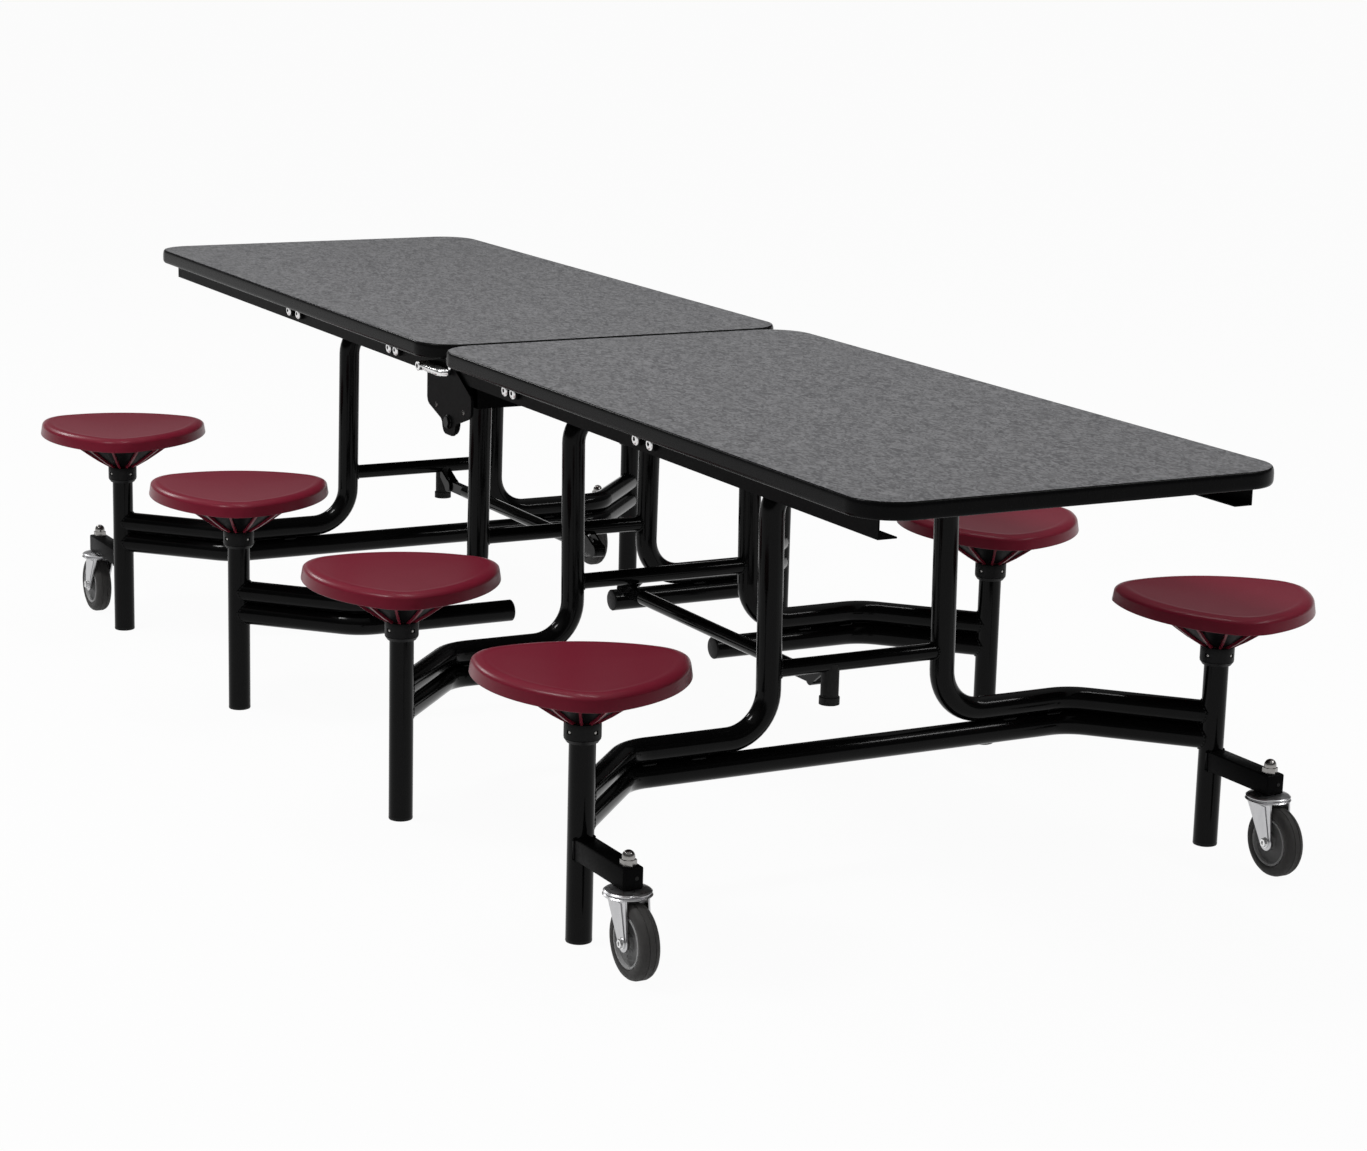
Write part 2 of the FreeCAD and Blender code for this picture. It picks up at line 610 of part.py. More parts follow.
def seat_shell():
    """Moulded seat with skirt, dished top and finned hub, about its own swivel axis."""
    face = Part.Face(seat_outline(0, SEAT_RIM_BOTTOM))
    block = face.extrude(UP * SEAT_SKIRT)
    rim = [e for e in block.Edges if e.BoundBox.ZMin > SEAT_HEIGHT - SEAT_ROUND]
    block = block.makeFillet(SEAT_ROUND, rim)
    dish_sphere = (SEAT_DISH_RADIUS ** 2 + SEAT_DISH_DEPTH ** 2) / (2 * SEAT_DISH_DEPTH)
    dish = Part.makeSphere(dish_sphere, Vector(0, 0, SEAT_HEIGHT - SEAT_DISH_DEPTH + dish_sphere))
    block = block.cut(dish)
    hollow = Part.Face(seat_outline(SEAT_WALL, SEAT_RIM_BOTTOM)).extrude(UP * (SEAT_SKIRT - SEAT_PLATE))
    shell = block.cut(hollow)
    plate_bottom = SEAT_HEIGHT - SEAT_PLATE
    root = plate_bottom + RIB_ROOT
    pieces = [shell, Part.makeCylinder(HUB_DIAMETER / 2, root - HUB_BOTTOM, Vector(0, 0, HUB_BOTTOM))]
    outline = [(0, HUB_BOTTOM), (RIB_FOOT_REACH, HUB_BOTTOM), (RIB_TOP_REACH, plate_bottom),
               (RIB_TOP_REACH, root), (0, root)]
    points = [Vector(x, -RIB_THICKNESS / 2, z) for x, z in outline]
    rib = Part.Face(Part.makePolygon(points + points[:1])).extrude(ACROSS * RIB_THICKNESS)
    for step in range(HUB_RIBS):
        fin = rib.copy()
        fin.rotate(Vector(0, 0, 0), UP, 360 / HUB_RIBS * step)
        pieces.append(fin)
    socket = Part.makeCylinder(STEM_DIAMETER / 2, plate_bottom - HUB_BOTTOM, Vector(0, 0, HUB_BOTTOM))
    return fuse(pieces).cut(socket).Solids[0]


def seat_stem():
    """Steel stem of a seat, down through the collar into the post."""
    bottom = COLLAR_TOP - STEM_DEPTH
    return Part.makeCylinder(STEM_DIAMETER / 2, SEAT_HEIGHT - SEAT_PLATE - bottom, Vector(0, 0, bottom))


def caster_arms():
    """Arms from the end posts out to the casters."""
    arms = []
    x = END_PIVOT_X + STOOL_REACH
    end = x + CASTER_REACH + ARM_WIDTH / 2
    for side in SIDES.values():
        y = side * STOOL_Y
        outer = box(x, end, y - ARM_WIDTH / 2, y + ARM_WIDTH / 2, ARM_BOTTOM, ARM_TOP)
        inner = box(x, end - ARM_WALL, y - ARM_WIDTH / 2 + ARM_WALL, y + ARM_WIDTH / 2 - ARM_WALL,
                    ARM_BOTTOM + ARM_WALL, ARM_TOP - ARM_WALL)
        pin = Vector(x + CASTER_REACH, y, 0)
        hole = rod(KINGPIN_DIAMETER + 2 * WELD_GAP, pin + UP * ARM_BOTTOM, pin + UP * ARM_TOP)
        arm = outer.cut(inner).cut(hole).cut(post_cutter(END_PIVOT_X, side))
        arms.append(max(arm.Solids, key=lambda s: s.Volume))
    return arms


def acorn_nut(seat):
    """Domed hexagon nut that stands on a point."""
    corner = ACORN_WIDTH / math.sqrt(3)
    angles = [math.radians(60 * step) for step in range(6)]
    points = [seat + Vector(corner * math.cos(a), corner * math.sin(a), 0) for a in angles]
    hexagon = Part.Face(Part.makePolygon(points + points[:1])).extrude(UP * ACORN_HEX_HEIGHT)
    radius = ACORN_DOME_DIAMETER / 2
    neck = ACORN_HEIGHT - radius
    return fuse([hexagon, Part.makeCylinder(radius, neck, seat),
                 Part.makeSphere(radius, seat + UP * neck, UP, 0, 90)])


def kingpins():
    """Swivel pins of the casters with their domed nuts."""
    pins = []
    for side in SIDES.values():
        foot = Vector(END_PIVOT_X + STOOL_REACH + CASTER_REACH, side * STOOL_Y, 0)
        shank = rod(KINGPIN_DIAMETER, foot + UP * FORK_CROWN_BOTTOM, foot + UP * ARM_TOP)
        pins.append(fuse([shank, acorn_nut(foot + UP * ARM_TOP)]))
    return pins


def caster_fork(side):
    """Swivel fork of a near caster, with its race and axle bolt."""
    pin = Vector(END_PIVOT_X + STOOL_REACH + CASTER_REACH, side * STOOL_Y, 0)
    axle = Vector(pin.x + CASTER_TRAIL, pin.y, WHEEL_RADIUS)
    crown = rod(FORK_CROWN_WIDTH, pin + UP * FORK_CROWN_BOTTOM, pin + UP * FORK_CROWN_TOP)
    race = rod(RACE_DIAMETER, pin + UP * FORK_CROWN_TOP, pin + UP * (FORK_CROWN_TOP + RACE_HEIGHT))
    pieces = [crown, race]
    half_top = FORK_CHEEK_WIDTH / 2
    half_eye = FORK_EYE_DIAMETER / 2
    for cheek in SIDES.values():
        inner = pin.y + cheek * FORK_INNER
        outer = pin.y + cheek * FORK_OUTER
        outline = [(pin.x - half_top, FORK_CROWN_TOP), (pin.x + half_top, FORK_CROWN_TOP),
                   (axle.x + half_eye, axle.z), (axle.x - half_eye, axle.z)]
        points = [Vector(px, inner, pz) for px, pz in outline]
        web = Part.Face(Part.makePolygon(points + points[:1]))
        eye = rod(FORK_EYE_DIAMETER, Vector(axle.x, inner, axle.z), Vector(axle.x, outer, axle.z))
        pieces += [web.extrude(Vector(0, outer - inner, 0)), eye]
    frame = fuse(pieces)
    bore = rod(KINGPIN_DIAMETER + 2 * RUNNING_CLEARANCE, pin, pin + UP * ARM_BOTTOM)
    reach = ACROSS * FORK_OUTER
    axle_hole = rod(AXLE_DIAMETER, axle - reach, axle + reach)
    bolt_reach = ACROSS * (FORK_OUTER + BOLT_NUT_HEIGHT)
    bolt = fuse([axle_hole,
                 rod(BOLT_HEAD_DIAMETER, axle + reach, axle + bolt_reach),
                 rod(BOLT_HEAD_DIAMETER, axle - reach, axle - bolt_reach)])
    return [frame.cut(bore).cut(axle_hole).Solids[0], bolt]


def caster_wheel(side):
    """Tyre and hub of a near caster."""
    x = END_PIVOT_X + STOOL_REACH + CASTER_REACH + CASTER_TRAIL
    left = Vector(x, side * STOOL_Y - WHEEL_WIDTH / 2, WHEEL_RADIUS)
    right = left + ACROSS * WHEEL_WIDTH
    tyre = rod(WHEEL_DIAMETER, left, right)
    tyre = tyre.makeFillet(WHEEL_ROUND, [e for e in tyre.Edges if len(e.Vertexes) == 1])
    core = rod(WHEEL_HUB_DIAMETER, left, right)
    bore = rod(AXLE_DIAMETER + 2 * RUNNING_CLEARANCE, left, right)
    return [tyre.cut(core), core.cut(bore)]


def brace():
    """Link between an end frame and its inner frame, with a flat neck and an eye at both ends."""
    outer_pin = brace_pin_point(END_PIVOT_X)
    inner_pin = brace_pin_point(INNER_PIVOT_X)
    neck = Vector(BRACE_NECK, 0, 0)
    plug = Vector(BRACE_DIAMETER / 2, 0, 0)
    bar = rod(BRACE_DIAMETER, inner_pin + neck, outer_pin - neck)
    bore = rod(BRACE_DIAMETER - 2 * BRACE_WALL, inner_pin + neck + plug, outer_pin - neck - plug)
    pieces = [bar.cut(bore)]
    half_width = ACROSS * (BRACE_EYE_WIDTH / 2)
    for pin, heading in ((outer_pin, -1), (inner_pin, 1)):
        end = pin + (neck + plug / 2) * heading + half_width + UP * (BRACE_NECK_HEIGHT / 2)
        start = pin - half_width - UP * (BRACE_NECK_HEIGHT / 2)
        pieces += [rod(BRACE_EYE_DIAMETER, pin - half_width, pin + half_width),
                   box(start.x, end.x, start.y, end.y, start.z, end.z)]
    whole = fuse(pieces)
    for pin, clearance in ((outer_pin, RUNNING_CLEARANCE), (inner_pin, BRACE_PIN_CLEARANCE)):
        whole = whole.cut(rod(BRACE_PIN_DIAMETER + 2 * clearance, pin - half_width, pin + half_width))
    return whole.Solids[0]


def frame_nodes(name, pivot_x, leg_y, on_casters):
    """Nodes of one near frame without its stools' seats, by node name."""
    nodes = {
        name + "_leg_tube": [leg_frame(pivot_x, leg_y)],
        name + "_cross_tube": cross_tube(pivot_x, leg_y),
        name + "_posts": posts(pivot_x),
        name + "_post_fittings": post_fittings(pivot_x),
    }
    if on_casters:
        nodes[name + "_lower_tube"] = [lower_run(pivot_x)]
        nodes[name + "_stop"] = stop_stub(pivot_x)
        nodes[name + "_caster_arms"] = caster_arms()
        nodes[name + "_kingpins"] = kingpins()
    else:
        nodes[name + "_lower_tubes"] = [half_lower_run(pivot_x, s) for s in SIDES.values()]
    return nodes


def build():
    """All nodes, by name, each a list of solids."""
    nodes = {}
    board = rounded_slab(BAND_WIDTH, BOARD_BOTTOM, BOARD_TOP)
    laminate = rounded_slab(BAND_WIDTH, BOARD_TOP, TOP_HEIGHT)
    band = edge_band()
    clamps = pivot_clamps()
    link = brace()
    frames = {"end": frame_nodes("end", END_PIVOT_X, END_LEG_Y, True),
              "inner": frame_nodes("inner", INNER_PIVOT_X, INNER_LEG_Y, False)}
    for half, place in (("near", lambda s: s), ("far", turned)):
        nodes[half + "_board"] = [place(board)]
        nodes[half + "_laminate"] = [place(laminate)]
        nodes[half + "_edge_band"] = [place(band)]
        nodes[half + "_pivot_clamps"] = [place(c) for c in clamps]
        nodes[half + "_brace"] = [place(link)]
        for kind in frames.values():
            for node, solids in kind.items():
                nodes[half + "_" + node] = [place(s) for s in solids]
    nodes["near_underframe"] = near_underframe()
    nodes["far_underframe"] = [turned(s) for s in underframe()] + [lever_pin()]
    nodes["near_hinge_plates"] = inner_hinge_plates()
    nodes["far_hinge_plates"] = [turned(s) for s in outer_hinge_plates()]
    nodes["near_bolts"] = rail_bolts()
    nodes["far_bolts"] = [turned(s) for s in rail_bolts()]
    nodes["hinge_pins"] = hinge_pins()
    nodes["release_lever"] = [release_lever()]
    seat = [seat_shell(), seat_stem()]
    for half, way in (("near", 1), ("far", -1)):
        for kind, pivot_x in (("end", END_PIVOT_X), ("inner", INNER_PIVOT_X)):
            for side, sign in SIDES.items():
                place = Vector(way * (pivot_x + STOOL_REACH), sign * STOOL_Y, 0)
                moved = []
                for solid in seat:
                    copy = solid.copy()
                    copy.translate(place)
                    moved.append(copy)
                nodes[f"{half}_{kind}_{side}_seat"] = moved
    for side, sign in SIDES.items():
        nodes[f"near_{side}_caster_fork"] = caster_fork(sign)
        nodes[f"near_{side}_caster_wheel"] = caster_wheel(sign)
        nodes[f"far_{side}_caster_fork"] = [turned(s) for s in caster_fork(-sign)]
        nodes[f"far_{side}_caster_wheel"] = [turned(s) for s in caster_wheel(-sign)]
    return nodes


def main():
    """Write one STEP file per node."""
    os.makedirs("parts", exist_ok=True)
    nodes = build()
    for name, solids in nodes.items():
        shape = solids[0] if len(solids) == 1 else Part.makeCompound(solids)
        shape.exportStep(f"parts/{name}.step")
        volume = sum(s.Volume for s in solids) / 1000
        valid = all(s.isValid() and s.ShapeType == "Solid" for s in shape.Solids)
        print(f"{name}: {len(shape.Solids)} solids, {volume:.1f} cm3, valid {valid}")
    print(f"{len(nodes)} nodes")


main()
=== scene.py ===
"""Looks of a folding table with eight attached swivel stools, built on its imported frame.

Metres, +Z up, origin on the floor under the middle of the table. +X runs along the table to the
near end and +Y across it, from left to right.
"""

import json
import math

import bmesh
import bpy
from mathutils import Matrix, Vector


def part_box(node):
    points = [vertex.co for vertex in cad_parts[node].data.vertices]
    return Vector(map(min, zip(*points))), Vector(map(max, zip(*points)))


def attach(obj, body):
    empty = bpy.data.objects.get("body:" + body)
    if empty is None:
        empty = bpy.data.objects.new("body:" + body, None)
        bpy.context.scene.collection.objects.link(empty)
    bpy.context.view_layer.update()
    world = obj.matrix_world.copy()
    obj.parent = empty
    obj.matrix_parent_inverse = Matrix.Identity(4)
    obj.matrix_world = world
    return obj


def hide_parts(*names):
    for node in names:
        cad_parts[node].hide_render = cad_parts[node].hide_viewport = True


HALVES = {"near": 1, "far": -1}
KINDS = ("end", "inner")
SIDES = {"left": -1, "right": 1}
ACROSS = Vector((0, 1, 0))
UP = Vector((0, 0, 1))
UPRIGHT = Matrix.Rotation(math.pi / 2, 4, "X")

# Shared by several pieces
FIT_GAP = 0.0001
PLATE_EDGE = 0.0009
BOLT_EDGE = 0.0008
EDGE_MIDDLE = 0.3  # share of a rounded edge that is cut away at its middle
NOISE_RANGE = (0.3, 0.7)  # where most values of a noise texture lie

# Camera, fitted to the photograph
PHOTO_WIDTH = 1367
CAMERA_PLACE = Vector((5.075, -2.630, 1.604))
CAMERA_AZIMUTH = math.radians(61.25)
CAMERA_ELEVATION = math.radians(12.93)
CAMERA_ROLL = math.radians(1.5)
FOCAL_PIXELS = 3149
SENSOR_WIDTH = 36.0

# Seats
SEAT_CORNER_RADIUS = 0.074
SEAT_SIDE_RADIUS = 0.261
SEAT_TURN = math.radians(8)
SEAT_SKIRT = 0.026
SEAT_WALL = 0.005
SEAT_PLATE = 0.010
SEAT_MIDDLE_SHARE = 0.3
SEAT_DISH_DEPTH = 0.0019
SEAT_DISH_SHARES = (0.85, 0.7, 0.5, 0.3, 0.1)
SEAT_DRAFT = 0.0025
SEAT_DRAFT_SHARE = 0.9
SEAT_RIM_ROUND = 0.0105
SEAT_RIM_WIDTH = 0.018
SEAT_RIM_STEPS = 12
SEAT_RIM_INSET = 0.030
SEAT_RIM_FALL = 0.0004
SEAT_FOOT_EDGE = 0.0008
SEAT_STEPS = 180
HUB_DIAMETER = 0.046
HUB_LIFT = 0.0003
HUB_RIBS = 12
RIB_THICKNESS = 0.004
RIB_TOP_REACH = 0.138
RIB_FOOT_REACH = 0.030
RIB_BOW = 0.9
RIB_ROOT = 0.001
RIB_EDGE = 0.0006
# Inset of the black cone of painted shade that sits just inside the hub ribs
HUB_SHADE_CONE_INSET = 0.008

# Leg frames
TUBE_DIAMETER = 0.041
TUBE_WALL = 0.002
STOOL_REACH = 0.190
LEG_SPLAY = 0.010
LEG_Y = {"end": 0.165, "inner": 0.180}
RUN_HEIGHT = 0.228
LOWER_RUN_HEIGHT = 0.1866
RUN_BEND_Y = 0.420
INNER_RUN_END_Y = 0.110
PIVOT_HEIGHT = 0.640
CROSS_TUBE_DIAMETER = 0.028
CROSS_TUBE_HEIGHT = 0.335
PLUG_RIM = 0.003
PLUG_EDGE = 0.0012
PLUG_LENGTH = 0.014

# Posts, collars and glides
POST_TOP = 0.339
COLLAR_DIAMETER = 0.057
COLLAR_HEIGHT = 0.032
COLLAR_LID = 0.0061
COLLAR_EDGE = 0.0014
COLLAR_CHAMFER = 0.0045
COLLAR_GROOVE = 0.0007
COLLAR_STEPS = 96
POCKETS = 4
POCKET_TURN = math.radians(18)
POCKET_WIDTH = 0.009
POCKET_HEIGHT = 0.0066
POCKET_DROP = 0.010
POCKET_DEPTH = 0.0016
POCKET_WALL = 0.0002
SCREW_DIAMETER = 0.0048
SCREW_STAND = 0.0009
SCREW_SIDE_SHARE = 0.6
SCREW_TOP_SHARE = 0.7
STEM_DIAMETER = 0.024
GLIDE_THICKNESS = 0.006
GLIDE_EDGE = 0.002
GLIDE_PLUG = 0.020

# Casters
WHEEL_DIAMETER = 0.116
WHEEL_WIDTH = 0.032
WHEEL_STEPS = 72
AXLE_DIAMETER = 0.010
AXLE_BOLT_DIAMETER = 0.008
AXLE_NUT_WIDTH = 0.0128
AXLE_NUT_HEIGHT = 0.006
WASHER_DIAMETER = 0.017
WASHER_TOP_DIAMETER = 0.016
WASHER_SIDE = 0.0010
WASHER_HEIGHT = 0.0013
FORK_PLATE = 0.003
FORK_INNER = 0.0175
FORK_CHEEK_WIDTH = 0.064
FORK_EYE_DIAMETER = 0.028
FORK_EYE_START = math.radians(75)
FORK_EYE_STEPS = 14
FORK_CROWN_GAP = 0.004
FORK_RELIEF = 0.0012
FORK_RELIEF_SHARE = 0.62
RACE_DIAMETER = 0.072
RACE_HEIGHT = 0.010
KINGPIN_DIAMETER = 0.012
ARM_WIDTH = 0.034
ARM_EDGE = 0.003
ARM_HOLE_OFFSET = ARM_WIDTH / 6

# Wheel sections, as (radius, depth below the wheel's side)
TREAD_RADIUS = WHEEL_DIAMETER / 2
TREAD_GROOVE = 0.0009
GROOVE_RADIUS = TREAD_RADIUS - TREAD_GROOVE
TYRE_INNER = 0.040
RIM_INNER = 0.0356
TYRE_SECTION = ((TYRE_INNER, 0.0022), (0.0418, 0.0007), (0.0445, 0), (0.0492, 0.0003),
                (0.0535, 0.0020), (0.0562, 0.0050), (TREAD_RADIUS - 0.0004, 0.0085), (TREAD_RADIUS, 0.0100),
                (GROOVE_RADIUS, 0.0106), (GROOVE_RADIUS, 0.0114), (TREAD_RADIUS, 0.0120))
RIM_SECTION = ((RIM_INNER, 0.0060), (0.0362, 0.0012), (0.0375, 0.0006), (0.0392, 0.0010),
               (TYRE_INNER, 0.0022))
HUB_SECTION = ((AXLE_DIAMETER / 2, 0.0020), (0.0118, 0.0020), (0.0126, 0.0028), (0.0134, 0.0070),
               (0.0330, 0.0078), (RIM_INNER, 0.0060))

# Race section, as (reach past the race's radius, height above the crown)
RACE_SECTION = ((-0.004, 0), (0, 0.0018), (0.0016, 0.0032), (0, 0.0046), (-0.0016, 0.0058), (0, 0.0072),
                (0.0006, 0.0086), (-0.002, 0.0104), (-0.010, 0.0122), (-0.014, FORK_PLATE + RACE_HEIGHT))

# Hole rims, as (radius, height above the face), and the radius of the black disc of painted shade that stands for
# the inside of each hole
ARM_HOLE_RIM = ((0.0050, -ARM_EDGE), (0.0045, 0.0004), (0.0035, 0.0004), (0.0030, -ARM_EDGE))
ARM_HOLE_SHADE_DISC = 0.00325
PLATE_HOLE_RIM = ((0.0045, -0.001), (0.0045, 0.0004), (0.0036, 0.0008), (0.00315, -0.001))
PLATE_HOLE_SHADE_DISC = 0.00324

# Welds
BEAD_RADIUS = 0.0024
BEAD_STEPS = 96
BEAD_SECTION = 6
BEAD_RIPPLES = 24
BEAD_RIPPLE = 0.18
BEAD_SIDE_SHARE = 0.93
BEAD_END_SHARE = 0.4
BEAD_END_STEPS = 3
STITCH_Y = (0.296, 0.385)
STITCH_LENGTH = 0.028
STITCH_RADIUS = 0.003
STITCH_STEPS = 24

# Edge band
TOP_CORNER_RADIUS = 0.075
CORNER_STEPS = 24
BAND_THICKNESS = 0.004
BAND_TOP_ROUND = 0.011
BAND_FOOT_ROUND = 0.008
BAND_STEPS = 8

# Rail bolts
BOLT_X = (0.236, 0.268, 0.722, 0.770)
RAIL_FACE = 0.3285
RAIL_WALL = 0.0025
RAIL_BOTTOM = 0.6758
RAIL_MIDDLE = 0.6948
BOLT_HEAD_DIAMETER = 0.0205
BOLT_HEAD_HEIGHT = 0.0036
BOLT_DOME = ((1, 0), (1, 0.0012), (0.86, 0.0028), (0.66, BOLT_HEAD_HEIGHT))  # (share of radius, height)
BUSH_DIAMETER = 0.0225
BUSH_HEIGHT = 0.006
BUSH_EDGE = 0.0006
SOCKET_DIAMETER = 0.0072
SOCKET_TAPER = 0.9
SOCKET_FLOOR = 0.0006
NUT_WIDTH = 0.0139
NUT_HEIGHT = 0.006
NUT_EDGE = 0.0006

# Centre hinge and release lever
HINGE_PLATE = 0.005
HINGE_LOBE = 0.024
HINGE_LOBE_REACH = 0.030
HINGE_LOBE_FOOT = 0.024
OUTER_PLATE_REACH = 0.095
OUTER_PLATE_LAP = 0.004
OUTER_PLATE_PEAK_X = 0.014
OUTER_PLATE_PEAK_RISE = 0.028
OUTER_PLATE_SIDE = 0.058
OUTER_PLATE_WAIST = 0.022
OUTER_PLATE_ROUNDS = (0.004, 0.006, 0.008, 0.010, 0.012, 0.008, 0.014, 0.014, 0.008, 0.012)
PLATE_HOLES = ((-0.054, 0.023), (0.063, 0.027))
HINGE_HEAD_DIAMETER = 0.026
HINGE_FLANGE_HEIGHT = 0.002
HINGE_FLANGE_SIDE = 0.0012
HINGE_FLANGE_EDGE = 0.002
HINGE_HEX_WIDTH = 0.020
HINGE_HEX_HEIGHT = 0.004
HINGE_PIN_DIAMETER = 0.016
LEVER_THICKNESS = 0.013
LEVER_GAP = 0.0005
LEVER_ROUND = 0.0062
LEVER_HEEL = 0.0045
LEVER_FRONT_START = 0.26
LEVER_FRONT_END = 0.12
LEVER_TIP_SHARE = 0.38
LEVER_HEEL_SHARE = 0.46
LEVER_ROUNDS = (0.028, 0.018, 0.0075, 0.0064, 0.0064, 0.0075)
LEVER_BOSS_DIAMETER = 0.018
LEVER_BOSS_EDGE = 0.0015
LEVER_PIN_DIAMETER = 0.008

# Studio, with its sky as (height, brightness) and its lamps as place, target, size and watts
FLOOR_SIZE = 80
FLOOR_GREY = 0.60
FLOOR_WHITE = 0.96
SKY = ((0.0, 1.0), (0.05, 0.85), (0.14, 0.07), (0.50, 0.10), (0.75, 0.42), (1.0, 0.52))
LAMPS = {"key": ((-0.3, -2.7, 4.4), (0.3, 0, 0.5), (0.9, 0.9), 110),
         "fill": ((2.5, 2.8, 3.6), (0.4, 0, 0.3), (2.8, 0.24), 50),
         "rim": ((-4.8, -1.3, 3.0), (0, 0, 0.7), (1.4, 0.3), 40),
         "top": ((-0.3, 0, 4.6), (-0.3, 0, 0.5), (2.6, 0.28), 46)}

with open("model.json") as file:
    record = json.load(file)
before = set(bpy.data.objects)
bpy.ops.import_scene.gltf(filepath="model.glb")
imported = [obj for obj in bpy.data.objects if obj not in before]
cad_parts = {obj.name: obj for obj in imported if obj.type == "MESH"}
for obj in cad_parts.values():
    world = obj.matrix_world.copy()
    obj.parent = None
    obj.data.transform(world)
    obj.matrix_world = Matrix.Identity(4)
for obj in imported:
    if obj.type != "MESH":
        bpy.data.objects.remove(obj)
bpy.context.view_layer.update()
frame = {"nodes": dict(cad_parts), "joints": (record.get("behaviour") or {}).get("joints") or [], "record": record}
scene = bpy.context.scene
scene.view_settings.view_transform = "Standard"


# Materials

def new_material(name, color, roughness, metallic=0.0, specular=0.5):
    """Plain material with its own shader settings."""
    material = bpy.data.materials.new(name)
    material.use_nodes = True
    shader = shader_of(material)
    shader.inputs["Base Color"].default_value = (*color, 1)
    shader.inputs["Roughness"].default_value = roughness
    shader.inputs["Metallic"].default_value = metallic
    shader.inputs["Specular IOR Level"].default_value = specular
    return material


def shader_of(material):
    return material.node_tree.nodes["Principled BSDF"]


def noise(material, scale, detail=3.0, stretch=(1, 1, 1), twist=0.0):
    """Noise over the rest shape, as a factor socket."""
    nodes = material.node_tree.nodes
    links = material.node_tree.links
    place = nodes.new("ShaderNodeTexCoord")
    mapping = nodes.new("ShaderNodeMapping")
    mapping.inputs["Scale"].default_value = stretch
    texture = nodes.new("ShaderNodeTexNoise")
    texture.inputs["Scale"].default_value = scale
    texture.inputs["Detail"].default_value = detail
    texture.inputs["Distortion"].default_value = twist
    links.new(place.outputs["Object"], mapping.inputs["Vector"])
    links.new(mapping.outputs["Vector"], texture.inputs["Vector"])
    return texture.outputs["Fac"]


def spread(material, factor, low, high, clip):
    """Factor stretched from its clip range to a range of values."""
    node = material.node_tree.nodes.new("ShaderNodeMapRange")
    node.inputs["From Min"].default_value = clip[0]
    node.inputs["From Max"].default_value = clip[1]
    node.inputs["To Min"].default_value = low
    node.inputs["To Max"].default_value = high
    material.node_tree.links.new(factor, node.inputs["Value"])
    return node.outputs["Result"]


def mix_colors(material, factor, first, second):
    """Colour between two, by a factor socket. Each colour is a tuple or a socket."""
    node = material.node_tree.nodes.new("ShaderNodeMix")
    node.data_type = "RGBA"
    links = material.node_tree.links
    links.new(factor, node.inputs["Factor"])
    for name, color in (("A", first), ("B", second)):
        socket = [i for i in node.inputs if i.name == name and i.type == "RGBA"][0]
        if isinstance(color, tuple):
            socket.default_value = (*color, 1)
        else:
            links.new(color, socket)
    return [o for o in node.outputs if o.type == "RGBA"][0]


def set_color(material, socket):
    material.node_tree.links.new(socket, shader_of(material).inputs["Base Color"])


def set_roughness(material, factor, low, high):
    socket = spread(material, factor, low, high, NOISE_RANGE)
    material.node_tree.links.new(socket, shader_of(material).inputs["Roughness"])


def set_bump(material, factor, height):
    """Bump of a height in metres from a factor socket."""
    node = material.node_tree.nodes.new("ShaderNodeBump")
    node.inputs["Strength"].default_value = 1.0
    node.inputs["Distance"].default_value = height
    material.node_tree.links.new(factor, node.inputs["Height"])
    material.node_tree.links.new(node.outputs["Normal"], shader_of(material).inputs["Normal"])


def laminate_material():
    """Grey laminate with short wavy flecks over soft clouds."""
    material = new_material("grey_laminate", (0.137, 0.137, 0.141), 0.5, specular=0.2)
    waves = noise(material, 105, 5.0, stretch=(0.6, 1, 1), twist=1.8)
    flecks = spread(material, waves, 0, 1, clip=(0.40, 0.60))
    cloud = spread(material, noise(material, 30, 4.0), 0, 1, clip=(0.38, 0.62))
    dark = mix_colors(material, cloud, (0.079, 0.079, 0.083), (0.088, 0.088, 0.092))
    light = mix_colors(material, cloud, (0.184, 0.184, 0.189), (0.199, 0.199, 0.204))
    set_color(material, mix_colors(material, flecks, dark, light))
    set_roughness(material, noise(material, 300), 0.44, 0.56)
    set_bump(material, noise(material, 900), 0.00005)
    return material


def powder_coat_material():
    """Gloss black powder coat with a faint orange peel."""
    material = new_material("black_powder_coat", (0.003, 0.003, 0.0032), 0.13, specular=0.09)
    set_color(material, mix_colors(material, noise(material, 35, 4.0), (0.0022, 0.0022, 0.0023),
                                   (0.0042, 0.0042, 0.0044)))
    set_roughness(material, noise(material, 60), 0.10, 0.16)
    set_bump(material, noise(material, 600, 2.0), 0.000002)
    return material


def satin_black_material(name, roughness, specular, grain):
    """Satin black plastic or paint with a fine grain of a height in metres."""
    material = new_material(name, (0.0045, 0.0045, 0.0047), roughness, specular=specular)
    set_color(material, mix_colors(material, noise(material, 80), (0.0032, 0.0032, 0.0034),
                                   (0.0058, 0.0058, 0.0061)))
    set_roughness(material, noise(material, 200), roughness - 0.05, roughness + 0.06)
    set_bump(material, noise(material, 1500, 2.0), grain)
    return material


def seat_material():
    """Burgundy moulded plastic with a fine pebble texture."""
    material = new_material("burgundy_plastic", (0.165, 0.0120, 0.0262), 0.29, specular=0.11)
    set_color(material, mix_colors(material, noise(material, 26, 5.0), (0.155, 0.0105, 0.0235),
                                   (0.175, 0.0135, 0.0290)))
    set_roughness(material, noise(material, 320), 0.275, 0.305)
    set_bump(material, noise(material, 1100, 2.0), 0.000004)
    return material


def board_material():
    """Dark sealed fibreboard."""
    material = new_material("sealed_board", (0.035, 0.032, 0.030), 0.6, specular=0.2)
    set_color(material, mix_colors(material, noise(material, 500, 4.0), (0.026, 0.024, 0.022),
                                   (0.045, 0.041, 0.038)))
    set_bump(material, noise(material, 700), 0.0001)
    return material


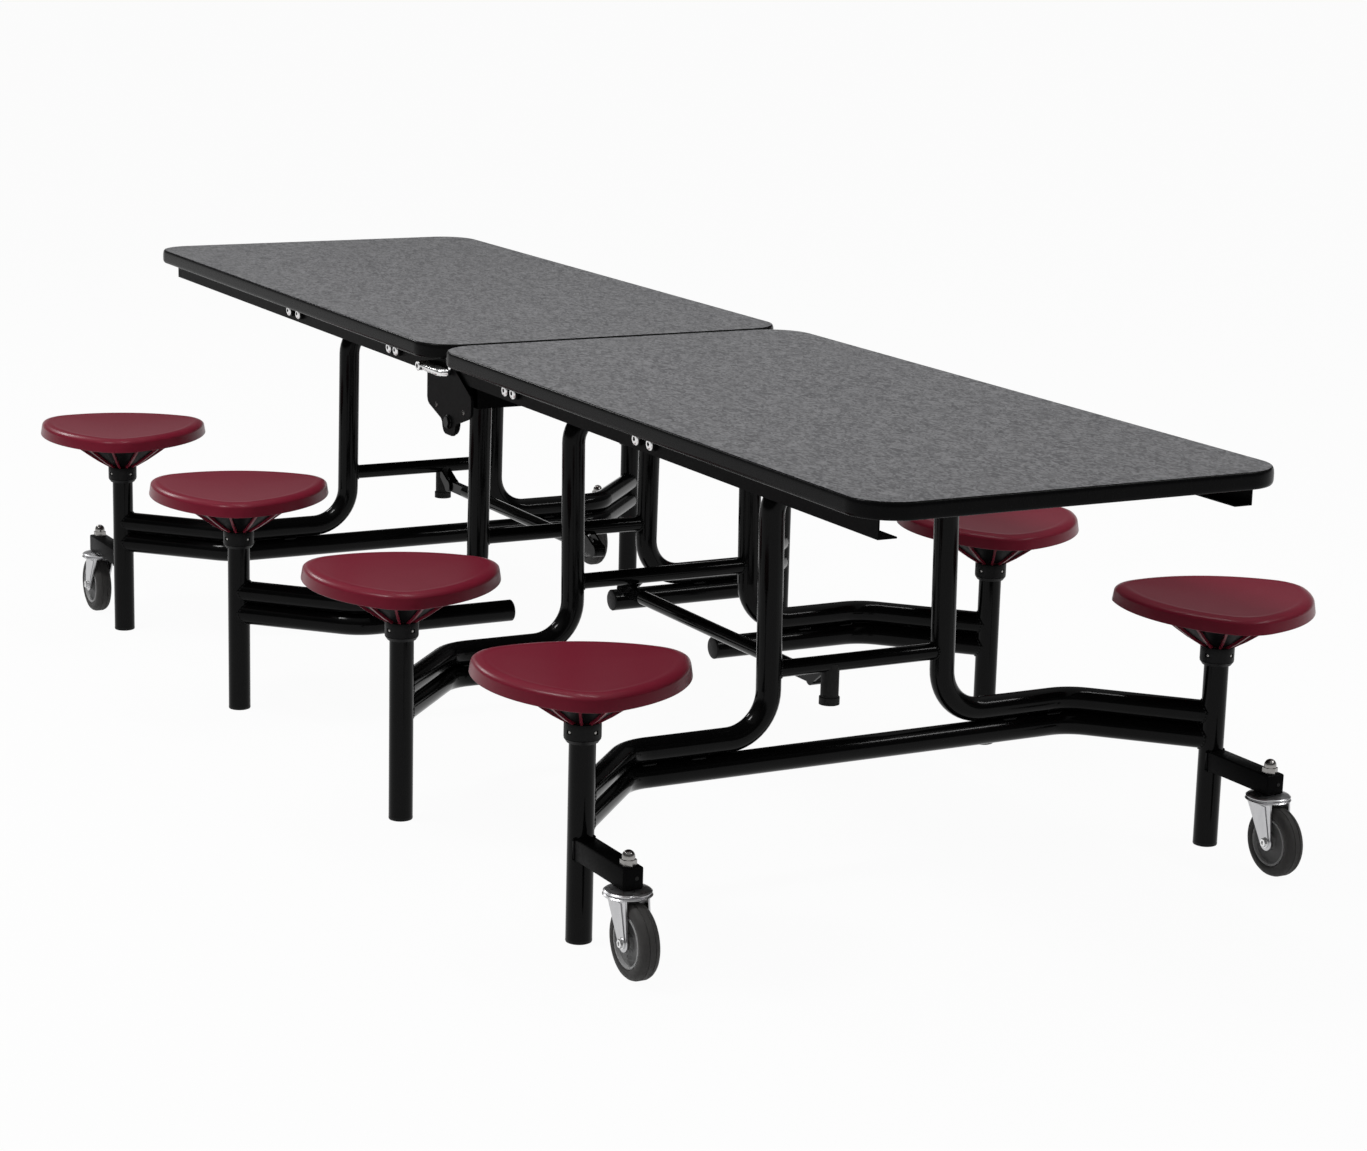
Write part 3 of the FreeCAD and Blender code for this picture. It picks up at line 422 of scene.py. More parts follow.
def metal_material(name, color, roughness, streak=1.0):
    """Plated metal with clouds, drawn out along Z where streak is under one."""
    stretch = (1, 1, streak)
    material = new_material(name, color, roughness, metallic=1.0)
    darker = tuple(c * 0.90 for c in color)
    set_color(material, mix_colors(material, noise(material, 90, 4.0, stretch), darker, color))
    set_roughness(material, noise(material, 160, 4.0, stretch), roughness * 0.8, roughness * 1.25)
    set_bump(material, noise(material, 700, 2.0, stretch), 0.00002)
    return material


def rubber_material(name, color):
    """Matt rubber with a dusty grain."""
    material = new_material(name, color, 0.62, specular=0.2)
    lighter = tuple(c * 1.35 for c in color)
    set_color(material, mix_colors(material, noise(material, 70, 5.0), color, lighter))
    set_roughness(material, noise(material, 220), 0.54, 0.72)
    set_bump(material, noise(material, 1200, 2.0), 0.00008)
    return material


LAMINATE = laminate_material()
POWDER = powder_coat_material()
SATIN = satin_black_material("black_satin_coat", 0.34, 0.015, 0.000003)
BAND = satin_black_material("black_edge_band", 0.24, 0.04, 0.000002)
COLLAR = satin_black_material("black_collar_plastic", 0.42, 0.12, 0.000015)
SEAT = seat_material()
BOARD = board_material()
ZINC = metal_material("zinc_plate", (0.55, 0.55, 0.56), 0.32, streak=0.3)
BRIGHT = metal_material("bright_plate", (0.86, 0.86, 0.86), 0.34)
DARK_STEEL = metal_material("dark_steel", (0.30, 0.29, 0.28), 0.24)
CHROME = metal_material("chrome", (0.84, 0.84, 0.84), 0.24)
BLACK_RUBBER = rubber_material("black_rubber", (0.010, 0.010, 0.010))
TYRE = rubber_material("grey_tyre", (0.046, 0.0445, 0.0435))
WHEEL_HUB = rubber_material("grey_wheel_hub", (0.17, 0.17, 0.17))
WHEEL_RIM = rubber_material("pale_wheel_rim", (0.33, 0.33, 0.33))


# Mesh helpers

def add_piece(name, shape, materials, body, crease=40):
    """Object from a bmesh, smooth up to a crease angle in degrees, riding on a body."""
    mesh = bpy.data.meshes.new(name)
    bmesh.ops.recalc_face_normals(shape, faces=shape.faces)
    shape.to_mesh(mesh)
    shape.free()
    for material in materials:
        mesh.materials.append(material)
    mesh.polygons.foreach_set("use_smooth", [True] * len(mesh.polygons))
    mesh.set_sharp_from_angle(angle=math.radians(crease))
    piece = bpy.data.objects.new(name, mesh)
    scene.collection.objects.link(piece)
    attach(piece, body)
    return piece


def skin(shape, rings, material=0, ends="open"):
    """Quads between closed rings of as many points, with ends open, capped, capped last or joined."""
    loops = [[shape.verts.new(point) for point in ring] for ring in rings]
    faces = []
    for lower, upper in zip(loops, loops[1:] + (loops[:1] if ends == "joined" else [])):
        for i in range(len(lower)):
            j = (i + 1) % len(lower)
            faces.append(shape.faces.new((lower[i], lower[j], upper[j], upper[i])))
    if ends == "capped":
        faces.append(shape.faces.new(reversed(loops[0])))
    if ends in ("capped", "capped last"):
        faces.append(shape.faces.new(loops[-1]))
    for face in faces:
        face.material_index = material


def circle(radius, height, steps):
    """Ring of points about Z."""
    angles = [math.tau * i / steps for i in range(steps)]
    return [Vector((radius * math.cos(a), radius * math.sin(a), height)) for a in angles]


def quarter_turns(steps):
    """Angles from zero to a right angle, in even steps."""
    return [math.pi / 2 * step / steps for step in range(steps + 1)]


def lathe(shape, profile, place, steps=48, material=0, ends="open"):
    """Surface turned from (radius, height) points about the local Z of a placement."""
    rings = [[place @ point for point in circle(radius, height, steps)] for radius, height in profile]
    skin(shape, rings, material, ends)


def prism(shape, outline, place, thickness, edge, material=0):
    """Plate of an (x, y) outline, half its thickness each side of local Z zero, with eased edges."""
    plate = bmesh.new()
    half = thickness / 2
    skin(plate, [[Vector((x, y, z)) for x, y in outline] for z in (-half, half)], material, "capped")
    rim = [e for e in plate.edges if abs(e.verts[0].co.z - e.verts[1].co.z) < half]
    bmesh.ops.bevel(plate, geom=rim, offset=edge, segments=2, profile=0.5, affect="EDGES")
    plate.transform(place)
    join(shape, plate)


def drawn_in(outline, inset):
    """Counterclockwise outline moved inwards by less than its corners' radii."""
    points = [Vector(point) for point in outline]
    moved = []
    for i, point in enumerate(points):
        heading = (points[(i + 1) % len(points)] - points[i - 1]).normalized()
        moved.append((point.x - heading.y * inset, point.y + heading.x * inset))
    return moved


def pillow(shape, outline, place, thickness, round_radius, steps=6):
    """Plate of a counterclockwise (x, y) outline, half its thickness each side, with round edges."""
    turns = quarter_turns(steps)
    rings = []
    for side, order in ((-1, turns[::-1]), (1, turns)):
        for turn in order:
            height = side * (thickness / 2 - round_radius * (1 - math.sin(turn)))
            inset = round_radius * (1 - math.cos(turn))
            rings.append([place @ Vector((x, y, height)) for x, y in drawn_in(outline, inset)])
    skin(shape, rings, ends="capped")


def add_hole(shape, place, rim, shade_disc, steps, rim_material=0):
    """Rim of (radius, height) points round a disc of the dark material 1, painted shade that shows as the inside
    of a hole.
    """
    lathe(shape, rim, place, steps, rim_material, "joined")
    lathe(shape, [(shade_disc, rim[0][1]), (shade_disc, FIT_GAP)], place, steps, 1, "capped")


def join(shape, other):
    """Put a bmesh's faces into another bmesh."""
    carrier = bpy.data.meshes.new("carrier")
    other.to_mesh(carrier)
    other.free()
    shape.from_mesh(carrier)
    bpy.data.meshes.remove(carrier)


def rounded(corners, radius, steps=6):
    """Outline whose corners are arcs, of one radius or of one for each corner."""
    radii = radius if isinstance(radius, tuple) else (radius,) * len(corners)
    outline = []
    for i, corner in enumerate(corners):
        here = Vector(corner)
        into = (Vector(corners[i - 1]) - here).normalized()
        out = (Vector(corners[(i + 1) % len(corners)]) - here).normalized()
        half = into.angle(out) / 2
        centre = here + (into + out).normalized() * radii[i] / math.sin(half)
        first = here + into * radii[i] / math.tan(half) - centre
        last = here + out * radii[i] / math.tan(half) - centre
        for step in range(steps + 1):
            point = centre + first.lerp(last, step / steps).normalized() * radii[i]
            outline.append((point.x, point.y))
    return outline


def facing(origin, direction):
    """Placement at a point whose local Z runs along a direction."""
    return Matrix.Translation(origin) @ direction.to_track_quat("Z", "Y").to_matrix().to_4x4()


def hexagon(width):
    """Corners of a hexagon of a width across its flats."""
    return [(point.x, point.y) for point in circle(width / math.sqrt(3), 0, 6)]


def joint_point(child):
    """Place of the joint that carries a body."""
    for joint in frame["joints"]:
        if joint["child"] == child:
            return Vector(joint["pos_m"])
    raise KeyError(child)


# Seats

def seat_point(angle, inset):
    """Point of a seat's outline where it faces an angle, set in from the edge."""
    sixth = math.pi / 3
    first = SEAT_TURN + math.pi / 2
    step = round(((angle - first) % math.tau) / sixth)
    on_side = step % 2
    centre = first + step * sixth + (math.pi if on_side else 0)
    radius = (SEAT_SIDE_RADIUS if on_side else SEAT_CORNER_RADIUS) - inset
    out = (SEAT_SIDE_RADIUS - SEAT_CORNER_RADIUS) / math.sqrt(3)
    return Vector((out * math.cos(centre) + radius * math.cos(angle),
                   out * math.sin(centre) + radius * math.sin(angle), 0))


def seat_ring(inset, height, share=1.0):
    """Closed ring of a seat at a height, drawn in towards the middle by a share."""
    angles = [math.tau * i / SEAT_STEPS for i in range(SEAT_STEPS)]
    return [seat_point(a, inset) * share + UP * height for a in angles]


def seat_profile_rings(top):
    """Rings from under the plate, down the inside of the skirt, over the rim and into the dish."""
    plate = top - SEAT_PLATE
    foot = top - SEAT_SKIRT
    edge = SEAT_FOOT_EDGE
    shoulder = top - SEAT_RIM_ROUND
    rings = [seat_ring(SEAT_WALL, plate, SEAT_MIDDLE_SHARE), seat_ring(SEAT_WALL, plate),
             seat_ring(SEAT_WALL, foot + edge), seat_ring(SEAT_WALL - edge, foot),
             seat_ring(edge, foot), seat_ring(0.0, foot + edge),
             seat_ring(SEAT_DRAFT * SEAT_DRAFT_SHARE, shoulder - edge)]
    for turn in quarter_turns(SEAT_RIM_STEPS):
        inset = SEAT_DRAFT + SEAT_RIM_WIDTH * (1 - math.cos(turn))
        rings.append(seat_ring(inset, shoulder + SEAT_RIM_ROUND * math.sin(turn)))
    crest = SEAT_DRAFT + SEAT_RIM_WIDTH
    for step in range(1, SEAT_RIM_STEPS):
        share = step / (SEAT_RIM_STEPS - 1)
        inset = crest + (SEAT_RIM_INSET - crest) * share
        rings.append(seat_ring(inset, top - SEAT_RIM_FALL * share * share * (3 - 2 * share)))
    for share in SEAT_DISH_SHARES:
        depth = SEAT_RIM_FALL + (SEAT_DISH_DEPTH - SEAT_RIM_FALL) * (1 - share ** 2)
        rings.append(seat_ring(SEAT_RIM_INSET, top - depth, share))
    return rings


def rib_outline(foot, head, steps=6):
    """Outline of a hub rib as (reach, height), bowed out from the hub's foot to the seat."""
    outline = [(STEM_DIAMETER / 2, head), (STEM_DIAMETER / 2, foot)]
    for i in range(steps + 1):
        share = i / steps
        reach = RIB_FOOT_REACH + (RIB_TOP_REACH - RIB_FOOT_REACH) * share ** RIB_BOW
        outline.append((reach, foot + (head - foot) * share))
    return outline


def add_seat(name):
    """Moulded seat with a drafted skirt, soft rim, dish and red ribs round a hub, with a black cone just inside
    the ribs as painted shade in the gaps between them.
    """
    low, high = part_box(name)
    place = joint_point(name)
    plate = high.z - SEAT_PLATE + RIB_ROOT
    hub_bottom = POST_TOP + COLLAR_LID + HUB_LIFT
    hub = HUB_DIAMETER / 2
    stem = STEM_DIAMETER / 2
    middle = Matrix.Identity(4)
    rib = rib_outline(hub_bottom, plate)
    shape = bmesh.new()
    skin(shape, seat_profile_rings(high.z), ends="capped")
    lathe(shape, [(hub, plate), (hub, hub_bottom), (stem, hub_bottom), (stem, plate)], middle, ends="joined")
    for i in range(HUB_RIBS):
        turn = Matrix.Rotation(math.tau * i / HUB_RIBS, 4, "Z")
        prism(shape, rib, turn @ UPRIGHT, RIB_THICKNESS, RIB_EDGE)
    # A black cone just inside the ribs paints the shade in the deep gaps between them
    shade_cone = [(reach - HUB_SHADE_CONE_INSET, height) for reach, height in rib[2:]]
    lathe(shape, shade_cone, middle, material=2, ends="capped")
    lathe(shape, [(stem, plate), (stem, low.z)], middle, steps=32, material=1, ends="capped")
    shape.transform(Matrix.Translation((place.x, place.y, 0)))
    piece = add_piece(name + "_moulding", shape, [SEAT, ZINC, SATIN], name, crease=20)
    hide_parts(name)


# Posts

def collar_angles():
    """Angles round a collar, with a pair at each side of each pocket."""
    angles = [math.tau * i / COLLAR_STEPS for i in range(COLLAR_STEPS)]
    half = POCKET_WIDTH / COLLAR_DIAMETER
    wall = POCKET_WALL * 2 / COLLAR_DIAMETER
    for pocket in range(POCKETS):
        middle = POCKET_TURN + math.tau * pocket / POCKETS
        angles = [a for a in angles if abs(abs(a - middle) - half) > 2 * wall]
        angles += [middle - half - wall, middle - half, middle + half, middle + half + wall]
    return sorted(angles)


def in_pocket(angle):
    """Whether an angle is inside one of a collar's screw pockets."""
    from_first = (angle - POCKET_TURN + math.pi / POCKETS) % (math.tau / POCKETS) - math.pi / POCKETS
    return abs(from_first) < (POCKET_WIDTH + POCKET_WALL) / COLLAR_DIAMETER


def collar_section():
    """Closed section of a collar as (radius, height, depth in a pocket), from its lid to its bore."""
    top = POST_TOP + COLLAR_LID
    bottom = top - COLLAR_HEIGHT
    outer = COLLAR_DIAMETER / 2
    bore = TUBE_DIAMETER / 2 + FIT_GAP
    stem = STEM_DIAMETER / 2 + FIT_GAP
    edge = COLLAR_EDGE * EDGE_MIDDLE
    pocket_top = top - POCKET_DROP
    pocket_foot = pocket_top - POCKET_HEIGHT
    groove = bottom + COLLAR_CHAMFER + 3 * COLLAR_GROOVE
    return [(stem, top, 0), (outer - COLLAR_EDGE, top, 0), (outer - edge, top - edge, 0),
            (outer, top - COLLAR_EDGE, 0), (outer, pocket_top, 0),
            (outer, pocket_top - POCKET_WALL, POCKET_DEPTH),
            (outer, pocket_foot + POCKET_WALL, POCKET_DEPTH), (outer, pocket_foot, 0),
            (outer, groove + 2 * COLLAR_GROOVE, 0), (outer - COLLAR_GROOVE, groove + COLLAR_GROOVE, 0),
            (outer - COLLAR_GROOVE, groove, 0), (outer - COLLAR_GROOVE / 2, groove - COLLAR_GROOVE, 0),
            (outer - COLLAR_CHAMFER, bottom, 0), (bore, bottom, 0), (bore, POST_TOP + FIT_GAP, 0),
            (stem, POST_TOP + FIT_GAP, 0)]


def add_collar(shape, foot):
    """Collar with a lid, screw pockets, a groove and a chamfered lower ring."""
    angles = collar_angles()
    rings = []
    for radius, height, dent in collar_section():
        ring = []
        for angle in angles:
            reach = radius - (dent if in_pocket(angle) else 0)
            ring.append(foot @ Vector((reach * math.cos(angle), reach * math.sin(angle), height)))
        rings.append(ring)
    skin(shape, rings, ends="joined")
    screw = SCREW_DIAMETER / 2
    profile = [(screw, -SCREW_STAND), (screw, SCREW_STAND * SCREW_SIDE_SHARE),
               (screw * SCREW_TOP_SHARE, SCREW_STAND)]
    height = POST_TOP + COLLAR_LID - POCKET_DROP - POCKET_HEIGHT / 2
    for pocket in range(POCKETS):
        turn = POCKET_TURN + math.tau * pocket / POCKETS
        out = Vector((math.cos(turn), math.sin(turn), 0))
        seat = foot @ (out * (COLLAR_DIAMETER / 2 - POCKET_DEPTH) + UP * height)
        lathe(shape, profile, facing(seat, out), steps=20, material=1, ends="capped")


def glide_profile():
    """Outline of a glide from its plug down to the floor."""
    outer = TUBE_DIAMETER / 2
    plug = outer - TUBE_WALL - FIT_GAP
    edge = GLIDE_EDGE * EDGE_MIDDLE
    return [(plug, GLIDE_THICKNESS + GLIDE_PLUG), (plug, GLIDE_THICKNESS), (outer, GLIDE_THICKNESS),
            (outer, GLIDE_EDGE), (outer - edge, edge), (outer - GLIDE_EDGE, 0)]


def add_post_fittings(half, kind):
    """Collars with their screws and glides of one frame."""
    node = f"{half}_{kind}_post_fittings"
    fittings = bmesh.new()
    for side in SIDES:
        place = joint_point(f"{half}_{kind}_{side}_seat")
        foot = Matrix.Translation((place.x, place.y, 0))
        add_collar(fittings, foot)
        lathe(fittings, glide_profile(), foot, ends="capped")
    piece = add_piece(node + "_moulding", fittings, [COLLAR, DARK_STEEL], f"{half}_{kind}_frame",
                      crease=35)
    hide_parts(node)


# Welds and tube ends

def bead(shape, points, outs, radius, closed=True):
    """Rippled weld along points, each with a direction out of the joint."""
    rings = []
    last = len(points) - 1
    for i, (point, out) in enumerate(zip(points, outs)):
        before = points[i - 1] if closed or i else point
        after = points[(i + 1) % len(points)] if closed or i < last else point
        heading = (after - before).normalized()
        side = heading.cross(out).normalized()
        rise = side.cross(heading)
        ripple = 1 + BEAD_RIPPLE * math.sin(math.tau * BEAD_RIPPLES * i / BEAD_STEPS)
        ease = 1.0 if closed else min(1.0, (BEAD_END_SHARE + min(i, last - i)) / BEAD_END_STEPS)
        rings.append([point + (rise * p.x + side * p.y) * radius * ripple * ease
                      for p in circle(1, 0, BEAD_SECTION)])
    skin(shape, rings, ends="joined" if closed else "capped")


def saddle(middle, direction, section, post_radius):
    """Where a level bar's (across, up) section meets an upright tube, and the way out at each point."""
    across = UP.cross(direction)
    points = []
    outs = []
    for reach, rise in section:
        along = math.sqrt(max(post_radius ** 2 - reach ** 2, 0))
        points.append(middle + direction * along + across * reach + UP * rise)
        outs.append((direction + (across * reach + UP * rise).normalized()).normalized())
    return points, outs


def arm_section():
    """Section of a caster arm as (across, up), with as many points as a closed weld."""
    half = ARM_WIDTH / 2
    corners = [(-half, -half), (half, -half), (half, half), (-half, half)]
    return rounded(corners, ARM_EDGE, BEAD_STEPS // len(corners) - 1)


def add_stitches(shape, x, sign):
    """Short welds between the two runs on one side of a frame, in front and behind."""
    tube = TUBE_DIAMETER / 2
    groove = math.sqrt((tube + STITCH_RADIUS) ** 2 - tube ** 2)
    shares = [i / STITCH_STEPS - 0.5 for i in range(STITCH_STEPS + 1)]
    for reach in STITCH_Y:
        for face in (-1, 1):
            middle = Vector((x + face * groove, sign * reach, (RUN_HEIGHT + LOWER_RUN_HEIGHT) / 2))
            points = [middle + ACROSS * STITCH_LENGTH * share for share in shares]
            bead(shape, points, [Vector((face, 0, 0))] * len(points), STITCH_RADIUS, closed=False)


def add_frame_welds(half, kind):
    """Weld beads of one frame: arms to posts, cross tube to legs, stitches between the runs."""
    way = HALVES[half]
    tube = TUBE_DIAMETER / 2
    tube_section = [(p.x * BEAD_SIDE_SHARE, p.y) for p in circle(tube, 0, BEAD_STEPS)]
    cross_section = [(p.x, p.y) for p in circle(CROSS_TUBE_DIAMETER / 2, 0, BEAD_STEPS)]
    down_leg = (PIVOT_HEIGHT - CROSS_TUBE_HEIGHT) / (PIVOT_HEIGHT - RUN_HEIGHT)
    shape = bmesh.new()
    for side, sign in SIDES.items():
        post = joint_point(f"{half}_{kind}_{side}_seat")
        foot = Vector((post.x, post.y, 0))
        pivot_x = post.x - way * STOOL_REACH
        run_x = pivot_x + way * LEG_SPLAY
        bend = Vector((run_x, sign * RUN_BEND_Y, 0))
        for height in (RUN_HEIGHT, LOWER_RUN_HEIGHT):
            joint = saddle(foot + UP * height, (bend - foot).normalized(), tube_section, tube)
            bead(shape, *joint, BEAD_RADIUS)
        leg = Vector((pivot_x + way * LEG_SPLAY * down_leg, sign * LEG_Y[kind], CROSS_TUBE_HEIGHT))
        bead(shape, *saddle(leg, ACROSS * -sign, cross_section, tube), BEAD_RADIUS)
        if kind == "end":
            low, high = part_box(f"{half}_end_caster_arms")
            middle = foot + UP * (low.z + high.z) / 2
            bead(shape, *saddle(middle, Vector((way, 0, 0)), arm_section(), tube), BEAD_RADIUS)
        add_stitches(shape, run_x, sign)
    add_piece(f"{half}_{kind}_weld_beads", shape, [POWDER], f"{half}_{kind}_frame", crease=60)


def add_tube_plugs(half):
    """End plugs in the lower tubes of an inner frame."""
    way = HALVES[half]
    outer = TUBE_DIAMETER / 2
    bore = outer - TUBE_WALL - FIT_GAP
    profile = [(bore, -PLUG_LENGTH), (bore, FIT_GAP), (outer, FIT_GAP), (outer, PLUG_EDGE),
               (outer - PLUG_EDGE, 2 * PLUG_EDGE), (outer - PLUG_RIM, PLUG_RIM)]
    shape = bmesh.new()
    for side, sign in SIDES.items():
        post = joint_point(f"{half}_inner_{side}_seat")
        end = Vector((post.x - way * (STOOL_REACH - LEG_SPLAY), sign * INNER_RUN_END_Y, LOWER_RUN_HEIGHT))
        lathe(shape, profile, facing(end, ACROSS * -sign), ends="capped")
    add_piece(f"{half}_inner_tube_plugs", shape, [COLLAR], f"{half}_inner_frame", crease=35)


# Casters

def wheel_section(points):
    """Whole section of a wheel part as (radius, place along the axle), alike on both sides."""
    half = [(radius, WHEEL_WIDTH / 2 - depth) for radius, depth in points]
    return half + [(radius, -place) for radius, place in reversed(half)]


def add_wheel(name):
    """Grey rubber tyre with tread grooves on a pale rim and a recessed hub."""
    shape = bmesh.new()
    place = facing(joint_point(name), ACROSS)
    for material, points in enumerate((TYRE_SECTION, RIM_SECTION, HUB_SECTION)):
        lathe(shape, wheel_section(points), place, WHEEL_STEPS, material, "joined")
    piece = add_piece(name + "_tyre", shape, [TYRE, WHEEL_RIM, WHEEL_HUB], name)
    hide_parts(name)


def cheek_outline(pin, axle, top, share=1.0):
    """Outline of a fork cheek in X and Z: straight sides into a round eye, drawn in by a share."""
    half_top = FORK_CHEEK_WIDTH / 2 * share
    eye = FORK_EYE_DIAMETER / 2 * share
    lean = math.atan2(top - axle.z, pin.x - axle.x)
    first = lean + FORK_EYE_START
    last = lean + math.tau - FORK_EYE_START
    points = [(pin.x + half_top, top), (pin.x - half_top, top)]
    for i in range(FORK_EYE_STEPS + 1):
        turn = first + (last - first) * i / FORK_EYE_STEPS
        points.append((axle.x + eye * math.cos(turn), axle.z + eye * math.sin(turn)))
    return points


def add_race(shape, foot):
    """Swivel race with two rolled rims and a stepped lid."""
    bore = KINGPIN_DIAMETER / 2 + FIT_GAP
    section = [(RACE_DIAMETER / 2 + reach, height) for reach, height in RACE_SECTION]
    lathe(shape, [(bore, 0), *section, (bore, FORK_PLATE + RACE_HEIGHT)], foot, steps=64, ends="joined")


def add_axle_nut(shape, face, out):
    """Nut on a washer against a fork's cheek."""
    washer = WASHER_DIAMETER / 2
    profile = [(washer, -FORK_RELIEF), (washer, WASHER_SIDE), (WASHER_TOP_DIAMETER / 2, WASHER_HEIGHT)]
    lathe(shape, profile, facing(face, out), steps=32, material=1, ends="capped")
    nut = facing(face + out * AXLE_NUT_HEIGHT / 2, out)
    prism(shape, hexagon(AXLE_NUT_WIDTH), nut, AXLE_NUT_HEIGHT - 2 * FORK_RELIEF, BOLT_EDGE, material=1)


def add_fork(name):
    """Pressed fork with its swivel race, axle bolt and nuts."""
    pin = joint_point(name)
    axle = joint_point(name.replace("_fork", "_wheel"))
    crown = WHEEL_DIAMETER + FORK_CROWN_GAP
    outline = cheek_outline(pin, axle, crown + FORK_PLATE)
    relief = cheek_outline(pin, axle, crown - FORK_PLATE, FORK_RELIEF_SHARE)
    shape = bmesh.new()
    add_race(shape, Matrix.Translation((pin.x, pin.y, crown)))
    for side in SIDES.values():
        middle = pin.y + side * (FORK_INNER + FORK_PLATE / 2)
        outside = pin.y + side * (FORK_INNER + FORK_PLATE)
        prism(shape, outline, Matrix.Translation((0, middle, 0)) @ UPRIGHT, FORK_PLATE, PLATE_EDGE)
        prism(shape, relief, Matrix.Translation((0, outside, 0)) @ UPRIGHT, 2 * FORK_RELIEF, PLATE_EDGE)
        add_axle_nut(shape, Vector((axle.x, outside + side * FORK_RELIEF, axle.z)), ACROSS * side)
    bolt = AXLE_BOLT_DIAMETER / 2
    reach = FORK_INNER + FORK_PLATE + AXLE_NUT_HEIGHT
    lathe(shape, [(bolt - BOLT_EDGE, -reach), (bolt, BOLT_EDGE - reach), (bolt, reach - BOLT_EDGE),
                  (bolt - BOLT_EDGE, reach)], facing(axle, ACROSS), steps=24, material=1, ends="capped")
    piece = add_piece(name + "_pressing", shape, [ZINC, BRIGHT], name, crease=20)
    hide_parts(name)


def add_caster_arms(half):
    """Box-section arms with eased edges, each with a hole rim in its end round a black disc of painted shade."""
    node = f"{half}_end_caster_arms"
    low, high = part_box(node)
    way = HALVES[half]
    size = Vector((high.x - low.x, ARM_WIDTH, high.z - low.z))
    shape = bmesh.new()
    for side in SIDES:
        post = joint_point(f"{half}_end_{side}_seat")
        middle = Vector(((low.x + high.x) / 2, post.y, (low.z + high.z) / 2))
        arm = bmesh.new()
        bmesh.ops.create_cube(arm, size=1)
        arm.transform(Matrix.Translation(middle) @ Matrix.Diagonal((*size, 1)))
        bmesh.ops.bevel(arm, geom=arm.edges[:], offset=ARM_EDGE, segments=3, profile=0.5, affect="EDGES")
        join(shape, arm)
        end = Vector((high.x if way > 0 else low.x, post.y + ARM_HOLE_OFFSET, middle.z))
        # The hole's inside is a black disc of painted shade
        add_hole(shape, facing(end, Vector((way, 0, 0))), ARM_HOLE_RIM, ARM_HOLE_SHADE_DISC, steps=24)
    piece = add_piece(node + "_section", shape, [SATIN, BLACK_RUBBER], f"{half}_end_frame",
                      crease=20)
    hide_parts(node)


# Edge band

def band_profile(bottom, top):
    """Closed section of an edge band as (inset, height), rounded over above and below."""
    arc = [(1 - math.sin(turn), 1 - math.cos(turn)) for turn in quarter_turns(BAND_STEPS)]
    upper = [(BAND_THICKNESS * inset, top - BAND_TOP_ROUND * fall) for inset, fall in arc]
    lower = [(BAND_THICKNESS * inset, bottom + BAND_FOOT_ROUND * rise) for rise, inset in arc]
    return upper + lower


def add_edge_band(half):
    """Moulded band with a bullnose round the edge of a top half."""
    node = f"{half}_edge_band"
    low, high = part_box(node)
    rings = []
    for inset, height in band_profile(low.z, high.z):
        left, right = low.x + inset, high.x - inset
        front, back = low.y + inset, high.y - inset
        corners = [(left, front), (right, front), (right, back), (left, back)]
        outline = rounded(corners, TOP_CORNER_RADIUS - inset, CORNER_STEPS)
        rings.append([Vector((x, y, height)) for x, y in outline])
    shape = bmesh.new()
    skin(shape, rings, ends="joined")
    piece = add_piece(node + "_moulding", shape, [BAND], f"{half}_top", crease=30)
    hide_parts(node)


# Bolts

def add_rail_bolts(half):
    """Bright domed bolts on black bushes along both rails of a half, with their nuts inside and their sockets
    coloured black as painted shade.
    """
    node = f"{half}_bolts"
    bush = BUSH_DIAMETER / 2
    socket = SOCKET_DIAMETER / 2
    top = BUSH_HEIGHT + BOLT_HEAD_HEIGHT
    bush_profile = [(bush, 0), (bush, BUSH_HEIGHT - BUSH_EDGE), (bush - BUSH_EDGE, BUSH_HEIGHT)]
    dome = [(BOLT_HEAD_DIAMETER / 2 * share, BUSH_HEIGHT + rise) for share, rise in BOLT_DOME]
    socket_profile = [(socket, top), (socket * SOCKET_TAPER, BUSH_HEIGHT + SOCKET_FLOOR)]
    shape = bmesh.new()
    for side in SIDES.values():
        out = ACROSS * side
        nut_y = side * (RAIL_FACE - RAIL_WALL - NUT_HEIGHT / 2)
        for reach in BOLT_X:
            x = HALVES[half] * reach
            head = facing(Vector((x, side * RAIL_FACE, RAIL_MIDDLE)), out)
            lathe(shape, bush_profile, head, steps=40, material=1, ends="capped")
            lathe(shape, dome + [(socket, top)], head, steps=40)
            # The socket takes the black rubber material: painted shade in the recess of the bright head
            lathe(shape, socket_profile, head, steps=6, material=2, ends="capped last")
            nut = facing(Vector((x, nut_y, RAIL_MIDDLE)), out)
            prism(shape, hexagon(NUT_WIDTH), nut, NUT_HEIGHT, NUT_EDGE)
    piece = add_piece(node + "_set", shape, [BRIGHT, COLLAR, BLACK_RUBBER], f"{half}_top",
                      crease=20)
    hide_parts(node)


# Centre hinge

def outer_plate_outline(hinge):
    """Outline of the far half's hinge plate in X and Z, with soft corners and a lobe at the hinge."""
    reach = OUTER_PLATE_REACH
    rail = RAIL_BOTTOM + OUTER_PLATE_LAP
    waist = hinge.z + OUTER_PLATE_WAIST
    bottom = hinge.z - HINGE_LOBE
    corners = [(-reach, rail), (-OUTER_PLATE_PEAK_X, rail),
               (OUTER_PLATE_PEAK_X, RAIL_BOTTOM + OUTER_PLATE_PEAK_RISE),
               (reach, hinge.z + OUTER_PLATE_SIDE), (reach, waist),
               (HINGE_LOBE_REACH, hinge.z), (HINGE_LOBE_FOOT, bottom), (-HINGE_LOBE_FOOT, bottom),
               (-HINGE_LOBE_REACH, hinge.z), (-reach, waist)]
    return rounded(corners, OUTER_PLATE_ROUNDS)


